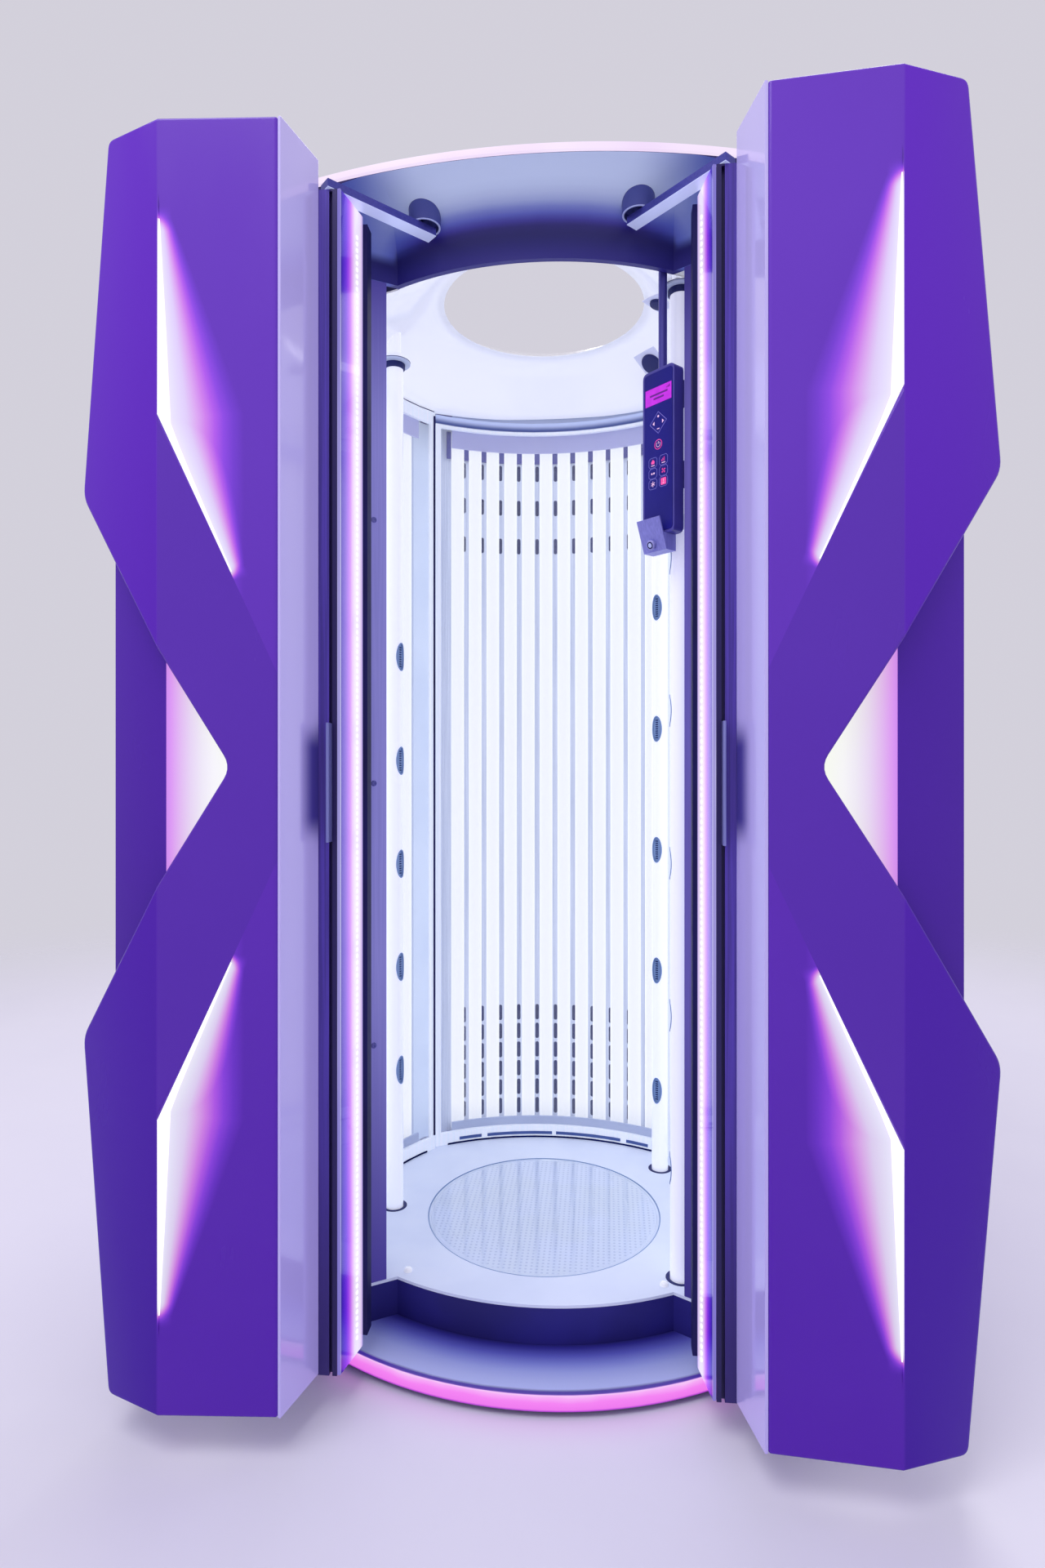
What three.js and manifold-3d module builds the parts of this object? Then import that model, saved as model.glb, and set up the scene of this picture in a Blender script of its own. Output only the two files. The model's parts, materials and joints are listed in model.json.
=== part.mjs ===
// Vertical tanning booth: a standing lamp cabin with two parallel-swing doors, shown open.
// Millimetres, +Z up, front towards -Y, origin on the floor below the middle of the floor disc.

import * as THREE from 'three';
import { ConvexGeometry } from 'three/addons/geometries/ConvexGeometry.js';
import { mergeVertices } from 'three/addons/utils/BufferGeometryUtils.js';
import Module from 'manifold-3d';

const wasm = await Module();
wasm.setup();

// Clearances
const GAP = 0.3;
const RUN_GAP = 0.05;

// Heights above the floor
const PLINTH_FOOT = 10;
const TREAD_TOP = 45;
const TREAD_THICK = 5;
const DECK_TOP = 124;
const DECK_THICK = 6;
const CANOPY_UNDER = 2349;
const CANOPY_THICK = 13;
const FASCIA_HEIGHT = 120;
const FASCIA_BOTTOM = CANOPY_UNDER - FASCIA_HEIGHT;
const COVE_START = 33;
const COVE_BEND = 12;
const COVE_REACH = 125;
const DOOR_BOTTOM = 74;
const DOOR_HEADROOM = 11;
const DOOR_TOP = CANOPY_UNDER - DOOR_HEADROOM;
const DOOR_MIDDLE = (DOOR_BOTTOM + DOOR_TOP) / 2;
const COLUMN_DROP = 55;
const COLUMN_TOP = DOOR_TOP - COLUMN_DROP;
const ROOF_HEIGHT = 38;
const ROOF_FRONT = 70;
const ROOF_SIDE = 20;
const ROOF_WALL = 4;
const ROOF_LOW = CANOPY_UNDER + CANOPY_THICK + GAP;
const ROOF_TOP = ROOF_LOW + ROOF_HEIGHT;
const SHELL_BOTTOM = 14;

// Reach of cutting solids past the pieces that they cut
const CUT_TOP = CANOPY_UNDER + 650;
const CUT_LOW = CANOPY_UNDER - 350;
const CUT_OUT = 1200;
const CUT_LAP = 40;
const CORNER_LAP = 30;

// Plan of the body
const FRONT_ARC_Y = -378.5;
const FRONT_ARC_R = 632;
const FRONT_CORNER = [290, -308];
const BODY_CORNER = [500, -438];
const BODY_SIDE = [640, 0];
const BODY_REAR = [430, 560];
const BODY_BACK = [0, 675];
const SHELL_THICK = 5;
const SHELL_JOINT = 1;
const TREAD_ARC_Y = -518;
const TREAD_ARC_R = 750;
const TREAD_HALF = 405;
const PLINTH_RECESS = 25;
const RISER_THICK = 12;
const JAMB_THICK = 28;
const JAMB_INSET = 24;
const JAMB_CLEAR = 2;
const RIM_ARC_Y = -517;
const RIM_ARC_R = 1600;
const RIM_HALF = 478;
const STRIP_DEPTH = 8;
const STRIP_BOTTOM = 12;
const STEP_BACK = -250;

// Ceiling
const OPENING_R = 247;
const OPENING_DROP = 24;
const OPENING_Z = CANOPY_UNDER - OPENING_DROP;
const OPENING_LIP = 6;
const FLARE_WALL = 4;
const FLARE_OUT = 73;
const FLARE_BACK = 70;
const CEILING_REACH = 217;
const CEILING_DROP = 110;
const CEILING_EDGE = 50;
const CEILING_SKIN = 4;
const WALL_CLEAR = 3;
const WALL_TOP = OPENING_Z - CEILING_DROP - WALL_CLEAR;

// Cabin walls
const SIDE_WALL_R = 468;
const SIDE_WALL_X = -13;
const SIDE_WALL_Y = 2;
const SIDE_SPAN = 39.5;
const SIDE_LEAN = 2.5;
const BACK_WALL_R = 614;
const BACK_WALL_Y = -188;
const BACK_SPAN = 33;
const FRAME_DEPTH = 12;
const FRAME_BAR = 34;
const FRAME_EDGE = 16;
const PANE_THICK = 4;
const LAMP_R = 19;
const LAMP_SPACING = 53;
const LAMP_COUNT = 12;
const LAMP_SETBACK = 38;
const LAMP_SIDES = 10;
const RAIL_DEPTH = 40;
const RAIL_HEIGHT = 24;
const REFLECTOR_SETBACK = 68;
const REFLECTOR_THICK = 3;

// Floor disc and air columns
const DISC_R = 280;
const DISC_THICK = 5;
const DISC_LEDGE = 15;
const WELL_FLOOR = 52;
const SOCKET_R = 31;
const SOCKET_FLOOR = 80;
const AIR_R = 22;
const AIR_RISE = 1;
const AIR_TOP = WALL_TOP + AIR_RISE;
const AIR_CHAMFER = 2;
const COLLAR_HEIGHT = 10;
const COLLAR_STEP = 1.5;
const STEM_R = 17;
const STEM_DROP = 40;
const STEM_TOP = OPENING_Z - STEM_DROP;
const NOZZLE_R = 13;
const NOZZLE_TALL = 2.6;
const NOZZLE_DEPTH = 7;
const AIR_AIM = [40, -215];
const AIR_COLUMNS = {
  air_column_left: { x: -369, y: -14, nozzles: [463, 716, 969, 1222, 1477] },
  air_column_right_rear: { x: 296, y: 250, nozzles: [340, 662, 985, 1309, 1634] },
  air_column_right_front: { x: 308, y: -256, nozzles: [355, 679, 1002, 1326, 1650] },
};

// Roof fan
const FAN_Y = 586;
const FAN_R = 68;
const FAN_WALL = 3;
const FAN_HEIGHT = 58;
const FAN_HUB_R = 24;
const MOTOR_HEIGHT = 26;
const SPOKE_WIDTH = 8;
const SPOKE_HEIGHT = 6;
const ROTOR_HEIGHT = 22;
const ROTOR_GAP = 0.5;
const BLADE_COUNT = 7;
const BLADE_CHORD = 28;
const BLADE_THICK = 2;
const BLADE_PITCH = 32;
const BLADE_TIP_GAP = 2;
const GRILLE_PITCH = 15;
const GRILLE_SLOT = 8;

// Ballasts and mains entry
const RACK_WIDTH = 500;
const RACK_Y = 545;
const RACK_THICK = 7;
const RACK_TOP = 1750;
const PACK_WIDTH = 80;
const PACK_DEPTH = 34;
const PACK_HEIGHT = 180;
const PACK_COLUMNS = 4;
const PACK_ROWS = 6;
const PACK_PITCH_X = 120;
const PACK_PITCH_Z = 240;
const PACK_LOW = 260;
const GLAND = [190, 540];
const GLAND_FLANGE_R = 16;
const GLAND_FLANGE = 10;
const GLAND_R = 11;
const GLAND_HEIGHT = 28;
const GLAND_NECK_R = 6;

// Door, right hand
const COVER_INNER_Y = -659.5;
const COVER_FOLD = [628, -675];
const COVER_OUTER = [745, -630];
const COVER_THICK = 32;
const BULGE_X = 808;
const BULGE_Z = 496;
const NOTCH_X = 500;
const NOTCH_ROUND = 24;
const BODY_THICK = 30;
const BODY_EDGE = 752;
const KINK_Z = 615;
const DISH_DEPTH = 20;
const DISH_RISE = 385;
const DISH_UPPER = [-128, 225];
const DISH_LOWER = [-218, -145];
const DISH_TIP = [-136, -292.2];
const RETURN_FRONT = [412, -659.3];
const RETURN_BACK_X = 382.6;
const RETURN_THICK = 6;
const COLUMN_X = 368;
const COLUMN_WIDTH = 40;
const COLUMN_FRONT = -544;
const COLUMN_DEPTH = 40;
const COLUMN_SLOT_X = 359.5;
const COLUMN_SLOT_WIDTH = 6;
const COLUMN_SLOT_DEPTH = 10;
const COLUMN_CAP = 4;
const FIN_NEAR = [347.4, -543.5];
const FIN_FAR = [329, -458.5];
const FIN_THICK = 6;
const SEAL_X = 314;
const SEAL_WIDTH = 13;
const SEAL_FRONT = -457.4;
const SEAL_DEPTH = 33;
const HANDLE_LOW = 1067;
const HANDLE_HIGH = 1288;
const HANDLE_REACH = 22;

// Door arm
const PIVOT = [215, -384];
const ARM_END = [360, -528];
const ARM_WIDTH = 28;
const ARM_HEIGHT = 16;
const ARM_TAIL = 18;
const ARM_WALL = 4;
const BELT_THICK = 2;
const POST_R = 7;
const BOSS_R = 32.5;
const BOSS_CUP_R = 28;
const BOSS_CUP_DEPTH = 14;

// Control unit
const ROD_X = 269;
const ROD_R = 9;
const ROD_CLEAR = 2.1;
const ROD_ARC = FRONT_ARC_R - RISER_THICK - ROD_R - ROD_CLEAR;
const ROD_Y = FRONT_ARC_Y + FRONT_ARC_R - Math.sqrt(ROD_ARC ** 2 - ROD_X ** 2);
const ROD_DROP = 20;
const ROD_TOP = OPENING_Z - ROD_DROP;
const UNIT_TURN = -45;
const UNIT_WIDTH = 86;
const UNIT_HEIGHT = 344;
const UNIT_DROP = 293;
const UNIT_TOP = OPENING_Z - UNIT_DROP;
const UNIT_BOTTOM = UNIT_TOP - UNIT_HEIGHT;
const UNIT_FRONT = 14;
const UNIT_BACK = 15;
const UNIT_ROUND = 9;
const ROD_SINK = 30;
const PANEL_THICK = 2;
const PANEL_MARGIN = 4.6;
const PANEL_MARGIN_Z = 6;
const PANEL_PROUD = 0.5;
const SCREEN_WIDTH = 71;
const SCREEN_DEPTH = 1.4;
const SCREEN_HEIGHT = 35;
const SCREEN_DROP = 37;
const SCREEN_HIGH = UNIT_TOP - SCREEN_DROP;
const SCREEN_LOW = SCREEN_HIGH - SCREEN_HEIGHT;
const PAD_DROPS = [28, 194];
const PAD_HEIGHT = 57;
const PAD_THICK = 6;
const PAD_INSET = 3;
const BRACKET_DROP = 34;
const BRACKET_LOW = UNIT_BOTTOM - BRACKET_DROP;
const BRACKET_PLATE = 68;
const BRACKET_LEAN = 20;
const BRACKET_WIDTH = 62;
const BRACKET_SIDE = -8.6;
const BRACKET_THICK = 3;
const BUTTON_R = 10.5;
const BUTTON_STEM_R = 8.5;
const BUTTON_STEM = 12;
const BUTTON_OUT = 4;
const BUTTON_TRAVEL = 4.5;
const BUTTON_SIDE = -2.5;
const BUTTON_RISE = 15;

const FINISH = {
  white_gloss: { color: 0xe9e6f2, roughness: 0.15, metalness: 0 },
  white_satin: { color: 0xe6e8f0, roughness: 0.45, metalness: 0 },
  grey_satin: { color: 0x8f97bd, roughness: 0.5, metalness: 0 },
  slate: { color: 0x3a3a78, roughness: 0.5, metalness: 0 },
  dark_metal: { color: 0x47405f, roughness: 0.4, metalness: 0.6 },
  aluminium: { color: 0xc4c8d6, roughness: 0.35, metalness: 0.8 },
  reflector: { color: 0xd8dcea, roughness: 0.25, metalness: 0.7 },
  lamp: { color: 0xf6f8ff, roughness: 0.3, metalness: 0 },
  acrylic: { color: 0xdfe6f5, roughness: 0.1, metalness: 0, opacity: 0.3 },
  pink_light: { color: 0xf2a0ee, roughness: 0.4, metalness: 0 },
  rubber: { color: 0x0c0b12, roughness: 0.8, metalness: 0 },
  dark_plastic: { color: 0x2d2a58, roughness: 0.3, metalness: 0 },
  screen: { color: 0xe23cf0, roughness: 0.2, metalness: 0 },
  red: { color: 0xc4203a, roughness: 0.35, metalness: 0 },
  steel: { color: 0x9a9daa, roughness: 0.4, metalness: 0.9 },
};

const booth = new THREE.Group();
booth.name = 'tanning_booth';

/** Turns a closed geometry into a solid. */
function toSolid(geometry) {
  const bare = geometry.index ? geometry.toNonIndexed() : geometry.clone();
  bare.deleteAttribute('normal');
  bare.deleteAttribute('uv');
  const merged = mergeVertices(bare, 1e-4);
  const corners = merged.index.array;
  const triangles = [];
  for (let i = 0; i < corners.length; i += 3) {
    const [a, b, c] = corners.slice(i, i + 3);
    if (a !== b && b !== c && c !== a) {
      triangles.push([a, b, c]);
    }
  }
  const outward = enclosedVolume(merged.attributes.position, triangles) > 0;
  const mesh = new wasm.Mesh({
    numProp: 3,
    vertProperties: new Float32Array(merged.attributes.position.array),
    triVerts: new Uint32Array(triangles.flatMap(([a, b, c]) => (outward ? [a, b, c] : [a, c, b]))),
  });
  return new wasm.Manifold(mesh);
}

/** Signed volume inside a closed set of triangles. */
function enclosedVolume(position, triangles) {
  const vertex = (i) => new THREE.Vector3().fromBufferAttribute(position, i);
  return triangles.reduce((sum, [a, b, c]) => sum + vertex(a).dot(vertex(b).cross(vertex(c))) / 6, 0);
}

/** Adds a solid to the booth as a named mesh. */
function addPart(name, solid, finish) {
  const data = solid.getMesh();
  const geometry = new THREE.BufferGeometry();
  geometry.setAttribute('position', new THREE.BufferAttribute(new Float32Array(data.vertProperties), 3));
  geometry.setIndex(new THREE.BufferAttribute(new Uint32Array(data.triVerts), 1));
  geometry.computeVertexNormals();
  const material = new THREE.MeshStandardMaterial({
    color: finish.color,
    roughness: finish.roughness,
    metalness: finish.metalness,
    transparent: finish.opacity !== undefined,
    opacity: finish.opacity ?? 1,
  });
  const mesh = new THREE.Mesh(geometry, material);
  mesh.name = name;
  booth.add(mesh);
}

/** Outline of plain [x, y] points as a shape. */
function shapeOf(points) {
  return new THREE.Shape(points.map(([x, y]) => new THREE.Vector2(x, y)));
}

/** Upright prism over a plan outline. */
function prism(points, low, high) {
  const geometry = new THREE.ExtrudeGeometry(shapeOf(points), { depth: high - low, bevelEnabled: false });
  geometry.translate(0, 0, low);
  return toSolid(geometry);
}

/** Prism over a front-view outline of [x, z] points, running from front to back. */
function facePrism(points, front, back) {
  const geometry = new THREE.ExtrudeGeometry(shapeOf(points), { depth: back - front, bevelEnabled: false });
  geometry.rotateX(Math.PI / 2);
  geometry.translate(0, back, 0);
  return toSolid(geometry);
}

/** Upright round bar. */
function bar(x, y, radius, low, high, sides = 32) {
  const geometry = new THREE.CylinderGeometry(radius, radius, high - low, sides);
  geometry.rotateX(Math.PI / 2);
  geometry.translate(x, y, (low + high) / 2);
  return toSolid(geometry);
}

/** Box between two corners. */
function box(low, high) {
  const size = high.map((value, axis) => value - low[axis]);
  const geometry = new THREE.BoxGeometry(...size);
  geometry.translate(...low.map((value, axis) => value + size[axis] / 2));
  return toSolid(geometry);
}

/** Body of revolution about +Z through x, y, from a closed profile of [radius, z] points. */
function revolve(profile, x, y, segments) {
  const points = profile.map(([radius, z]) => new THREE.Vector2(radius, z));
  const closed = profile[0][0] === 0 ? points : [...points, points[0]];
  const geometry = new THREE.LatheGeometry(closed, segments);
  geometry.rotateX(Math.PI / 2);
  geometry.translate(x, y, 0);
  return toSolid(geometry);
}

/** Joins solids into one. */
function join(...solids) {
  return solids.reduce((sum, solid) => sum.add(solid));
}

/** The same solid on the other side of the booth. */
function mirrored(solid) {
  return solid.mirror([1, 0, 0]);
}

/** Points on a circle; angles in degrees from +X. */
function arc(x, y, radius, from, to, steps) {
  const points = [];
  for (let i = 0; i <= steps; i += 1) {
    const angle = THREE.MathUtils.degToRad(from + ((to - from) * i) / steps);
    points.push([x + radius * Math.cos(angle), y + radius * Math.sin(angle)]);
  }
  return points;
}

/** Points on the circle through three points, from the first to the last. */
function arcThrough(first, middle, last, steps, inset = 0) {
  const [ax, ay] = first;
  const [bx, by] = middle;
  const [cx, cy] = last;
  const area = 2 * (ax * (by - cy) + bx * (cy - ay) + cx * (ay - by));
  const aa = ax * ax + ay * ay;
  const bb = bx * bx + by * by;
  const cc = cx * cx + cy * cy;
  const x = (aa * (by - cy) + bb * (cy - ay) + cc * (ay - by)) / area;
  const y = (aa * (cx - bx) + bb * (ax - cx) + cc * (bx - ax)) / area;
  const radius = Math.hypot(ax - x, ay - y) - inset;
  const from = THREE.MathUtils.radToDeg(Math.atan2(ay - y, ax - x));
  let sweep = THREE.MathUtils.radToDeg(Math.atan2(cy - y, cx - x)) - from;
  sweep = sweep > 180 ? sweep - 360 : sweep;
  sweep = sweep < -180 ? sweep + 360 : sweep;
  return arc(x, y, radius, from, from + sweep, steps);
}

/** The same outline on the other side, in reverse order. */
function flipped(points) {
  return points.map(([x, y]) => [-x, y]).reverse();
}

/** An open line moved sideways; positive values move it to its left. */
function offsetLine(points, distance) {
  return points.map((point, i) => {
    const before = points[Math.max(i - 1, 0)];
    const after = points[Math.min(i + 1, points.length - 1)];
    const first = new THREE.Vector2(point[0] - before[0], point[1] - before[1]).normalize();
    const second = new THREE.Vector2(after[0] - point[0], after[1] - point[1]).normalize();
    const along = first.clone().add(second).normalize();
    const stretch = 1 / Math.max(along.dot(first.lengthSq() > 0 ? first : second), 0.3);
    return [point[0] - along.y * distance * stretch, point[1] + along.x * distance * stretch];
  });
}

/** Upright wall that follows an open line. */
function wall(points, thickness, low, high) {
  return prism([...points, ...offsetLine(points, thickness).reverse()], low, high);
}

/** Closed outline with its corners rounded. */
function rounded(points, radius, steps = 4) {
  return points.flatMap((point, i) => {
    const corner = new THREE.Vector2(...point);
    const before = new THREE.Vector2(...points[(i + points.length - 1) % points.length]);
    const after = new THREE.Vector2(...points[(i + 1) % points.length]);
    const reach = radius[i] ?? radius;
    const start = corner.clone().add(before.sub(corner).setLength(reach));
    const end = corner.clone().add(after.sub(corner).setLength(reach));
    const curve = new THREE.QuadraticBezierCurve(start, corner, end);
    return curve.getPoints(steps).map((p) => [p.x, p.y]);
  });
}

// Plan lines used by several pieces

/** Front line of riser and fascia, left to right, run on past the body corners. */
function frontLine(inset = 0, steps = 24) {
  const middle = FRONT_ARC_Y + FRONT_ARC_R;
  const radius = FRONT_ARC_R - inset;
  const [start, end] = offsetLine([FRONT_CORNER, BODY_CORNER], inset).map((p) => new THREE.Vector2(...p));
  const along = end.clone().sub(start).normalize();
  const toStart = start.clone().sub(new THREE.Vector2(0, middle));
  const reach = along.dot(toStart);
  const shift = -reach - Math.sqrt(reach * reach - toStart.lengthSq() + radius * radius);
  const meet = start.clone().addScaledVector(along, Math.abs(shift) < 2 * CORNER_LAP ? shift : 0);
  const angle = THREE.MathUtils.radToDeg(Math.atan2(meet.x, middle - meet.y));
  const bulge = arc(0, middle, radius, -90 - angle, -90 + angle, steps);
  const beyond = end.addScaledVector(along, CUT_OUT / 3);
  const right = [[beyond.x, beyond.y]];
  return [...flipped(right), ...bulge, ...right];
}

/** Outside line of the body, from the right front corner round the back to the left one. */
function outsideLine(inset = 0) {
  const side = arcThrough(BODY_CORNER, BODY_SIDE, BODY_REAR, 14, inset);
  const back = arcThrough(BODY_REAR, BODY_BACK, [-BODY_REAR[0], BODY_REAR[1]], 14, inset);
  return [...side, ...back.slice(1, -1), ...flipped(side)];
}

/** Space behind the front line. */
function behindFront(inset, low, high) {
  return prism([...frontLine(inset), [CUT_OUT, CUT_OUT], [-CUT_OUT, CUT_OUT]], low, high);
}

/** Space inside the outer shells, open to the front. */
function insideShell(inset, low, high) {
  const line = outsideLine(inset);
  const [x] = line[0];
  return prism([[x, -CUT_OUT], ...line, [-x, -CUT_OUT]], low, high);
}

/** Slab with the plan of the body. */
function bodySlab(inset, frontInset, low, high) {
  return behindFront(frontInset, low, high).intersect(insideShell(inset, low, high));
}

/** Curved step front between its two ends, left to right. */
function arcFront(y, radius, half, inset, steps) {
  const reach = radius - inset;
  const angle = THREE.MathUtils.radToDeg(Math.asin(half / radius));
  return arc(0, y + radius, reach, -90 - angle, -90 + angle, steps);
}

/** Curved wall sector seen from the cabin; sets of walls share these centres. */
function sector(bank, inner, outer, span, low, high, steps = 12) {
  const inside = arc(bank.x, bank.y, inner, bank.facing - span, bank.facing + span, steps);
  const outside = arc(bank.x, bank.y, outer, bank.facing - span, bank.facing + span, steps);
  return prism([...inside, ...outside.reverse()], low, high);
}

const sideBank = {
  x: SIDE_WALL_X, y: SIDE_WALL_Y, radius: SIDE_WALL_R, span: SIDE_SPAN, facing: 0, lean: SIDE_LEAN,
};
const backBank = { x: 0, y: BACK_WALL_Y, radius: BACK_WALL_R, span: BACK_SPAN, facing: 90, lean: 0 };

/** Frame, pane, lamps and reflector of one lamp wall. */
function lampWall(bank) {
  const low = DECK_TOP + GAP;
  const sheet = { ...bank, facing: bank.facing + bank.lean };
  const turnOf = (length, radius) => THREE.MathUtils.radToDeg(length / radius);
  const frameIn = bank.radius - FRAME_DEPTH / 2;
  const frameOut = bank.radius + FRAME_DEPTH / 2;
  const windowSpan = bank.span - turnOf(FRAME_EDGE, bank.radius);
  const windowLow = low + FRAME_BAR;
  const windowHigh = WALL_TOP - FRAME_BAR;
  const window = sector(sheet, frameIn - 5, frameOut + 5, windowSpan, windowLow, windowHigh);
  const frame = sector(sheet, frameIn, frameOut, bank.span, low, WALL_TOP).subtract(window);
  const paneSpan = windowSpan - turnOf(GAP, bank.radius);
  const paneIn = bank.radius - PANE_THICK / 2;
  const pane = sector(sheet, paneIn, paneIn + PANE_THICK, paneSpan, windowLow + GAP, windowHigh - GAP);

  const lampRadius = bank.radius + LAMP_SETBACK;
  const railSpan = turnOf((LAMP_SPACING * LAMP_COUNT) / 2, lampRadius);
  const railIn = lampRadius - RAIL_DEPTH / 2;
  const railOut = lampRadius + RAIL_DEPTH / 2;
  const lampTop = WALL_TOP - RAIL_HEIGHT / 2;
  const lampLow = low + RAIL_HEIGHT / 2;
  const rails = [
    sector(bank, railIn, railOut, railSpan, low, low + RAIL_HEIGHT),
    sector(bank, railIn, railOut, railSpan, WALL_TOP - RAIL_HEIGHT, WALL_TOP),
  ];
  const lamps = [];
  for (let i = 0; i < LAMP_COUNT; i += 1) {
    const turn = turnOf(LAMP_SPACING * (i - (LAMP_COUNT - 1) / 2), lampRadius);
    const [[x, y]] = arc(bank.x, bank.y, lampRadius, bank.facing + turn, bank.facing + turn, 1);
    lamps.push(bar(x, y, LAMP_R, lampLow, lampTop, LAMP_SIDES));
  }
  const reflectorIn = bank.radius + REFLECTOR_SETBACK;
  const reflectorOut = reflectorIn + REFLECTOR_THICK;
  const reflector = sector(sheet, reflectorIn, reflectorOut, bank.span, low, WALL_TOP);
  return { frame, pane, lamps: join(...rails, ...lamps), reflector };
}

// Base

function buildBase() {
  const inset = SHELL_THICK + GAP;
  const deckUnder = DECK_TOP - DECK_THICK;
  const treadUnder = TREAD_TOP - TREAD_THICK;
  const stepPlan = (back, low, high) => {
    const edge = arcFront(TREAD_ARC_Y, TREAD_ARC_R, TREAD_HALF, back, 20);
    return prism([...edge, [edge.at(-1)[0], STEP_BACK], [edge[0][0], STEP_BACK]], low, high);
  };
  const feet = join(
    bodySlab(inset + PLINTH_RECESS, PLINTH_RECESS, 0, PLINTH_FOOT + 5),
    stepPlan(STRIP_DEPTH + PLINTH_RECESS, 0, PLINTH_FOOT + 5),
  );
  const lower = join(
    bodySlab(inset, 0, PLINTH_FOOT, treadUnder - GAP),
    stepPlan(STRIP_DEPTH + GAP, PLINTH_FOOT, treadUnder - GAP),
  );
  const upper = bodySlab(inset, RISER_THICK + GAP, treadUnder - 5, deckUnder - GAP);
  let plinth = join(feet, lower, upper);
  plinth = plinth.subtract(bar(0, 0, DISC_R - DISC_LEDGE, WELL_FLOOR, DECK_TOP, 48));
  for (const { x, y } of Object.values(AIR_COLUMNS)) {
    plinth = plinth.subtract(bar(x, y, SOCKET_R, SOCKET_FLOOR, DECK_TOP, 24));
  }
  addPart('plinth_base', plinth, FINISH.slate);

  const stripFront = arcFront(TREAD_ARC_Y, TREAD_ARC_R, TREAD_HALF, 0, 28);
  const stripBack = arcFront(TREAD_ARC_Y, TREAD_ARC_R, TREAD_HALF, STRIP_DEPTH, 28);
  addPart('plinth_light_strip', prism([...stripFront, ...stripBack.reverse()], STRIP_BOTTOM, TREAD_TOP),
    FINISH.pink_light);

  const tread = stepPlan(STRIP_DEPTH + GAP, treadUnder, TREAD_TOP);
  addPart('step_tread', tread.subtract(behindFront(-GAP, 0, DECK_TOP)), FINISH.grey_satin);

  const riserHigh = deckUnder - GAP;
  const riser = bodySlab(inset, 0, treadUnder, riserHigh).subtract(behindFront(RISER_THICK, 0, DECK_TOP));
  addPart('platform_riser', riser, FINISH.slate);

  let deck = bodySlab(inset, 0, deckUnder, DECK_TOP);
  deck = deck.subtract(bar(0, 0, DISC_R + GAP, 0, DECK_TOP + 1, 64));
  for (const { x, y } of Object.values(AIR_COLUMNS)) {
    deck = deck.subtract(bar(x, y, SOCKET_R, 0, DECK_TOP + 1, 24));
  }
  addPart('deck_plate', deck, FINISH.white_satin);
  addPart('floor_disc', bar(0, 0, DISC_R, deckUnder, deckUnder + DISC_THICK, 64), FINISH.acrylic);
}

// Lamp walls, jambs and outer shells

function buildBody() {
  const back = lampWall(backBank);
  const side = lampWall(sideBank);
  const clearOfJamb = behindFront(JAMB_THICK + JAMB_CLEAR, 0, CUT_TOP);
  for (const piece of ['frame', 'pane', 'reflector']) {
    side[piece] = side[piece].intersect(clearOfJamb);
  }
  const sets = { back, right: side };
  for (const [name, set] of Object.entries(sets)) {
    addPart(`${name}_pane_frame`, set.frame, FINISH.aluminium);
    addPart(`${name}_pane`, set.pane, FINISH.acrylic);
    addPart(`${name}_lamp_bank`, set.lamps, FINISH.lamp);
    addPart(`${name}_reflector`, set.reflector, FINISH.reflector);
  }
  addPart('left_pane_frame', mirrored(side.frame), FINISH.aluminium);
  addPart('left_pane', mirrored(side.pane), FINISH.acrylic);
  addPart('left_lamp_bank', mirrored(side.lamps), FINISH.lamp);
  addPart('left_reflector', mirrored(side.reflector), FINISH.reflector);

  const jambLine = offsetLine([FRONT_CORNER, BODY_CORNER], 0);
  const start = new THREE.Vector2(...jambLine[0]);
  const end = new THREE.Vector2(...jambLine[1]);
  const along = end.clone().sub(start).normalize();
  const inner = start.clone().addScaledVector(along, JAMB_INSET);
  const outer = end.clone().addScaledVector(along, -SHELL_THICK * 2);
  const jamb = wall([[inner.x, inner.y], [outer.x, outer.y]], JAMB_THICK, DECK_TOP + GAP,
    FASCIA_BOTTOM - GAP);
  addPart('right_jamb', jamb, FINISH.dark_metal);
  addPart('left_jamb', mirrored(jamb), FINISH.dark_metal);

  const shellTop = CANOPY_UNDER - GAP;
  const shells = bodySlab(0, 0, SHELL_BOTTOM, shellTop).subtract(insideShell(SHELL_THICK, 0, CUT_TOP));
  const rear = (gap) => {
    const [x, y] = BODY_REAR;
    return prism([[0, 0], [2 * x + gap, 2 * y - gap], [-2 * x - gap, 2 * y - gap]], 0, CUT_TOP);
  };
  const sides = shells.subtract(rear(SHELL_JOINT));
  const rightShell = sides.intersect(box([0, -CUT_OUT, 0], [CUT_OUT, CUT_OUT, CUT_TOP]));
  addPart('right_shell', rightShell, FINISH.white_gloss);
  addPart('left_shell', mirrored(rightShell), FINISH.white_gloss);
  addPart('back_shell', shells.intersect(rear(0)), FINISH.white_gloss);
}

// Air columns

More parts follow.
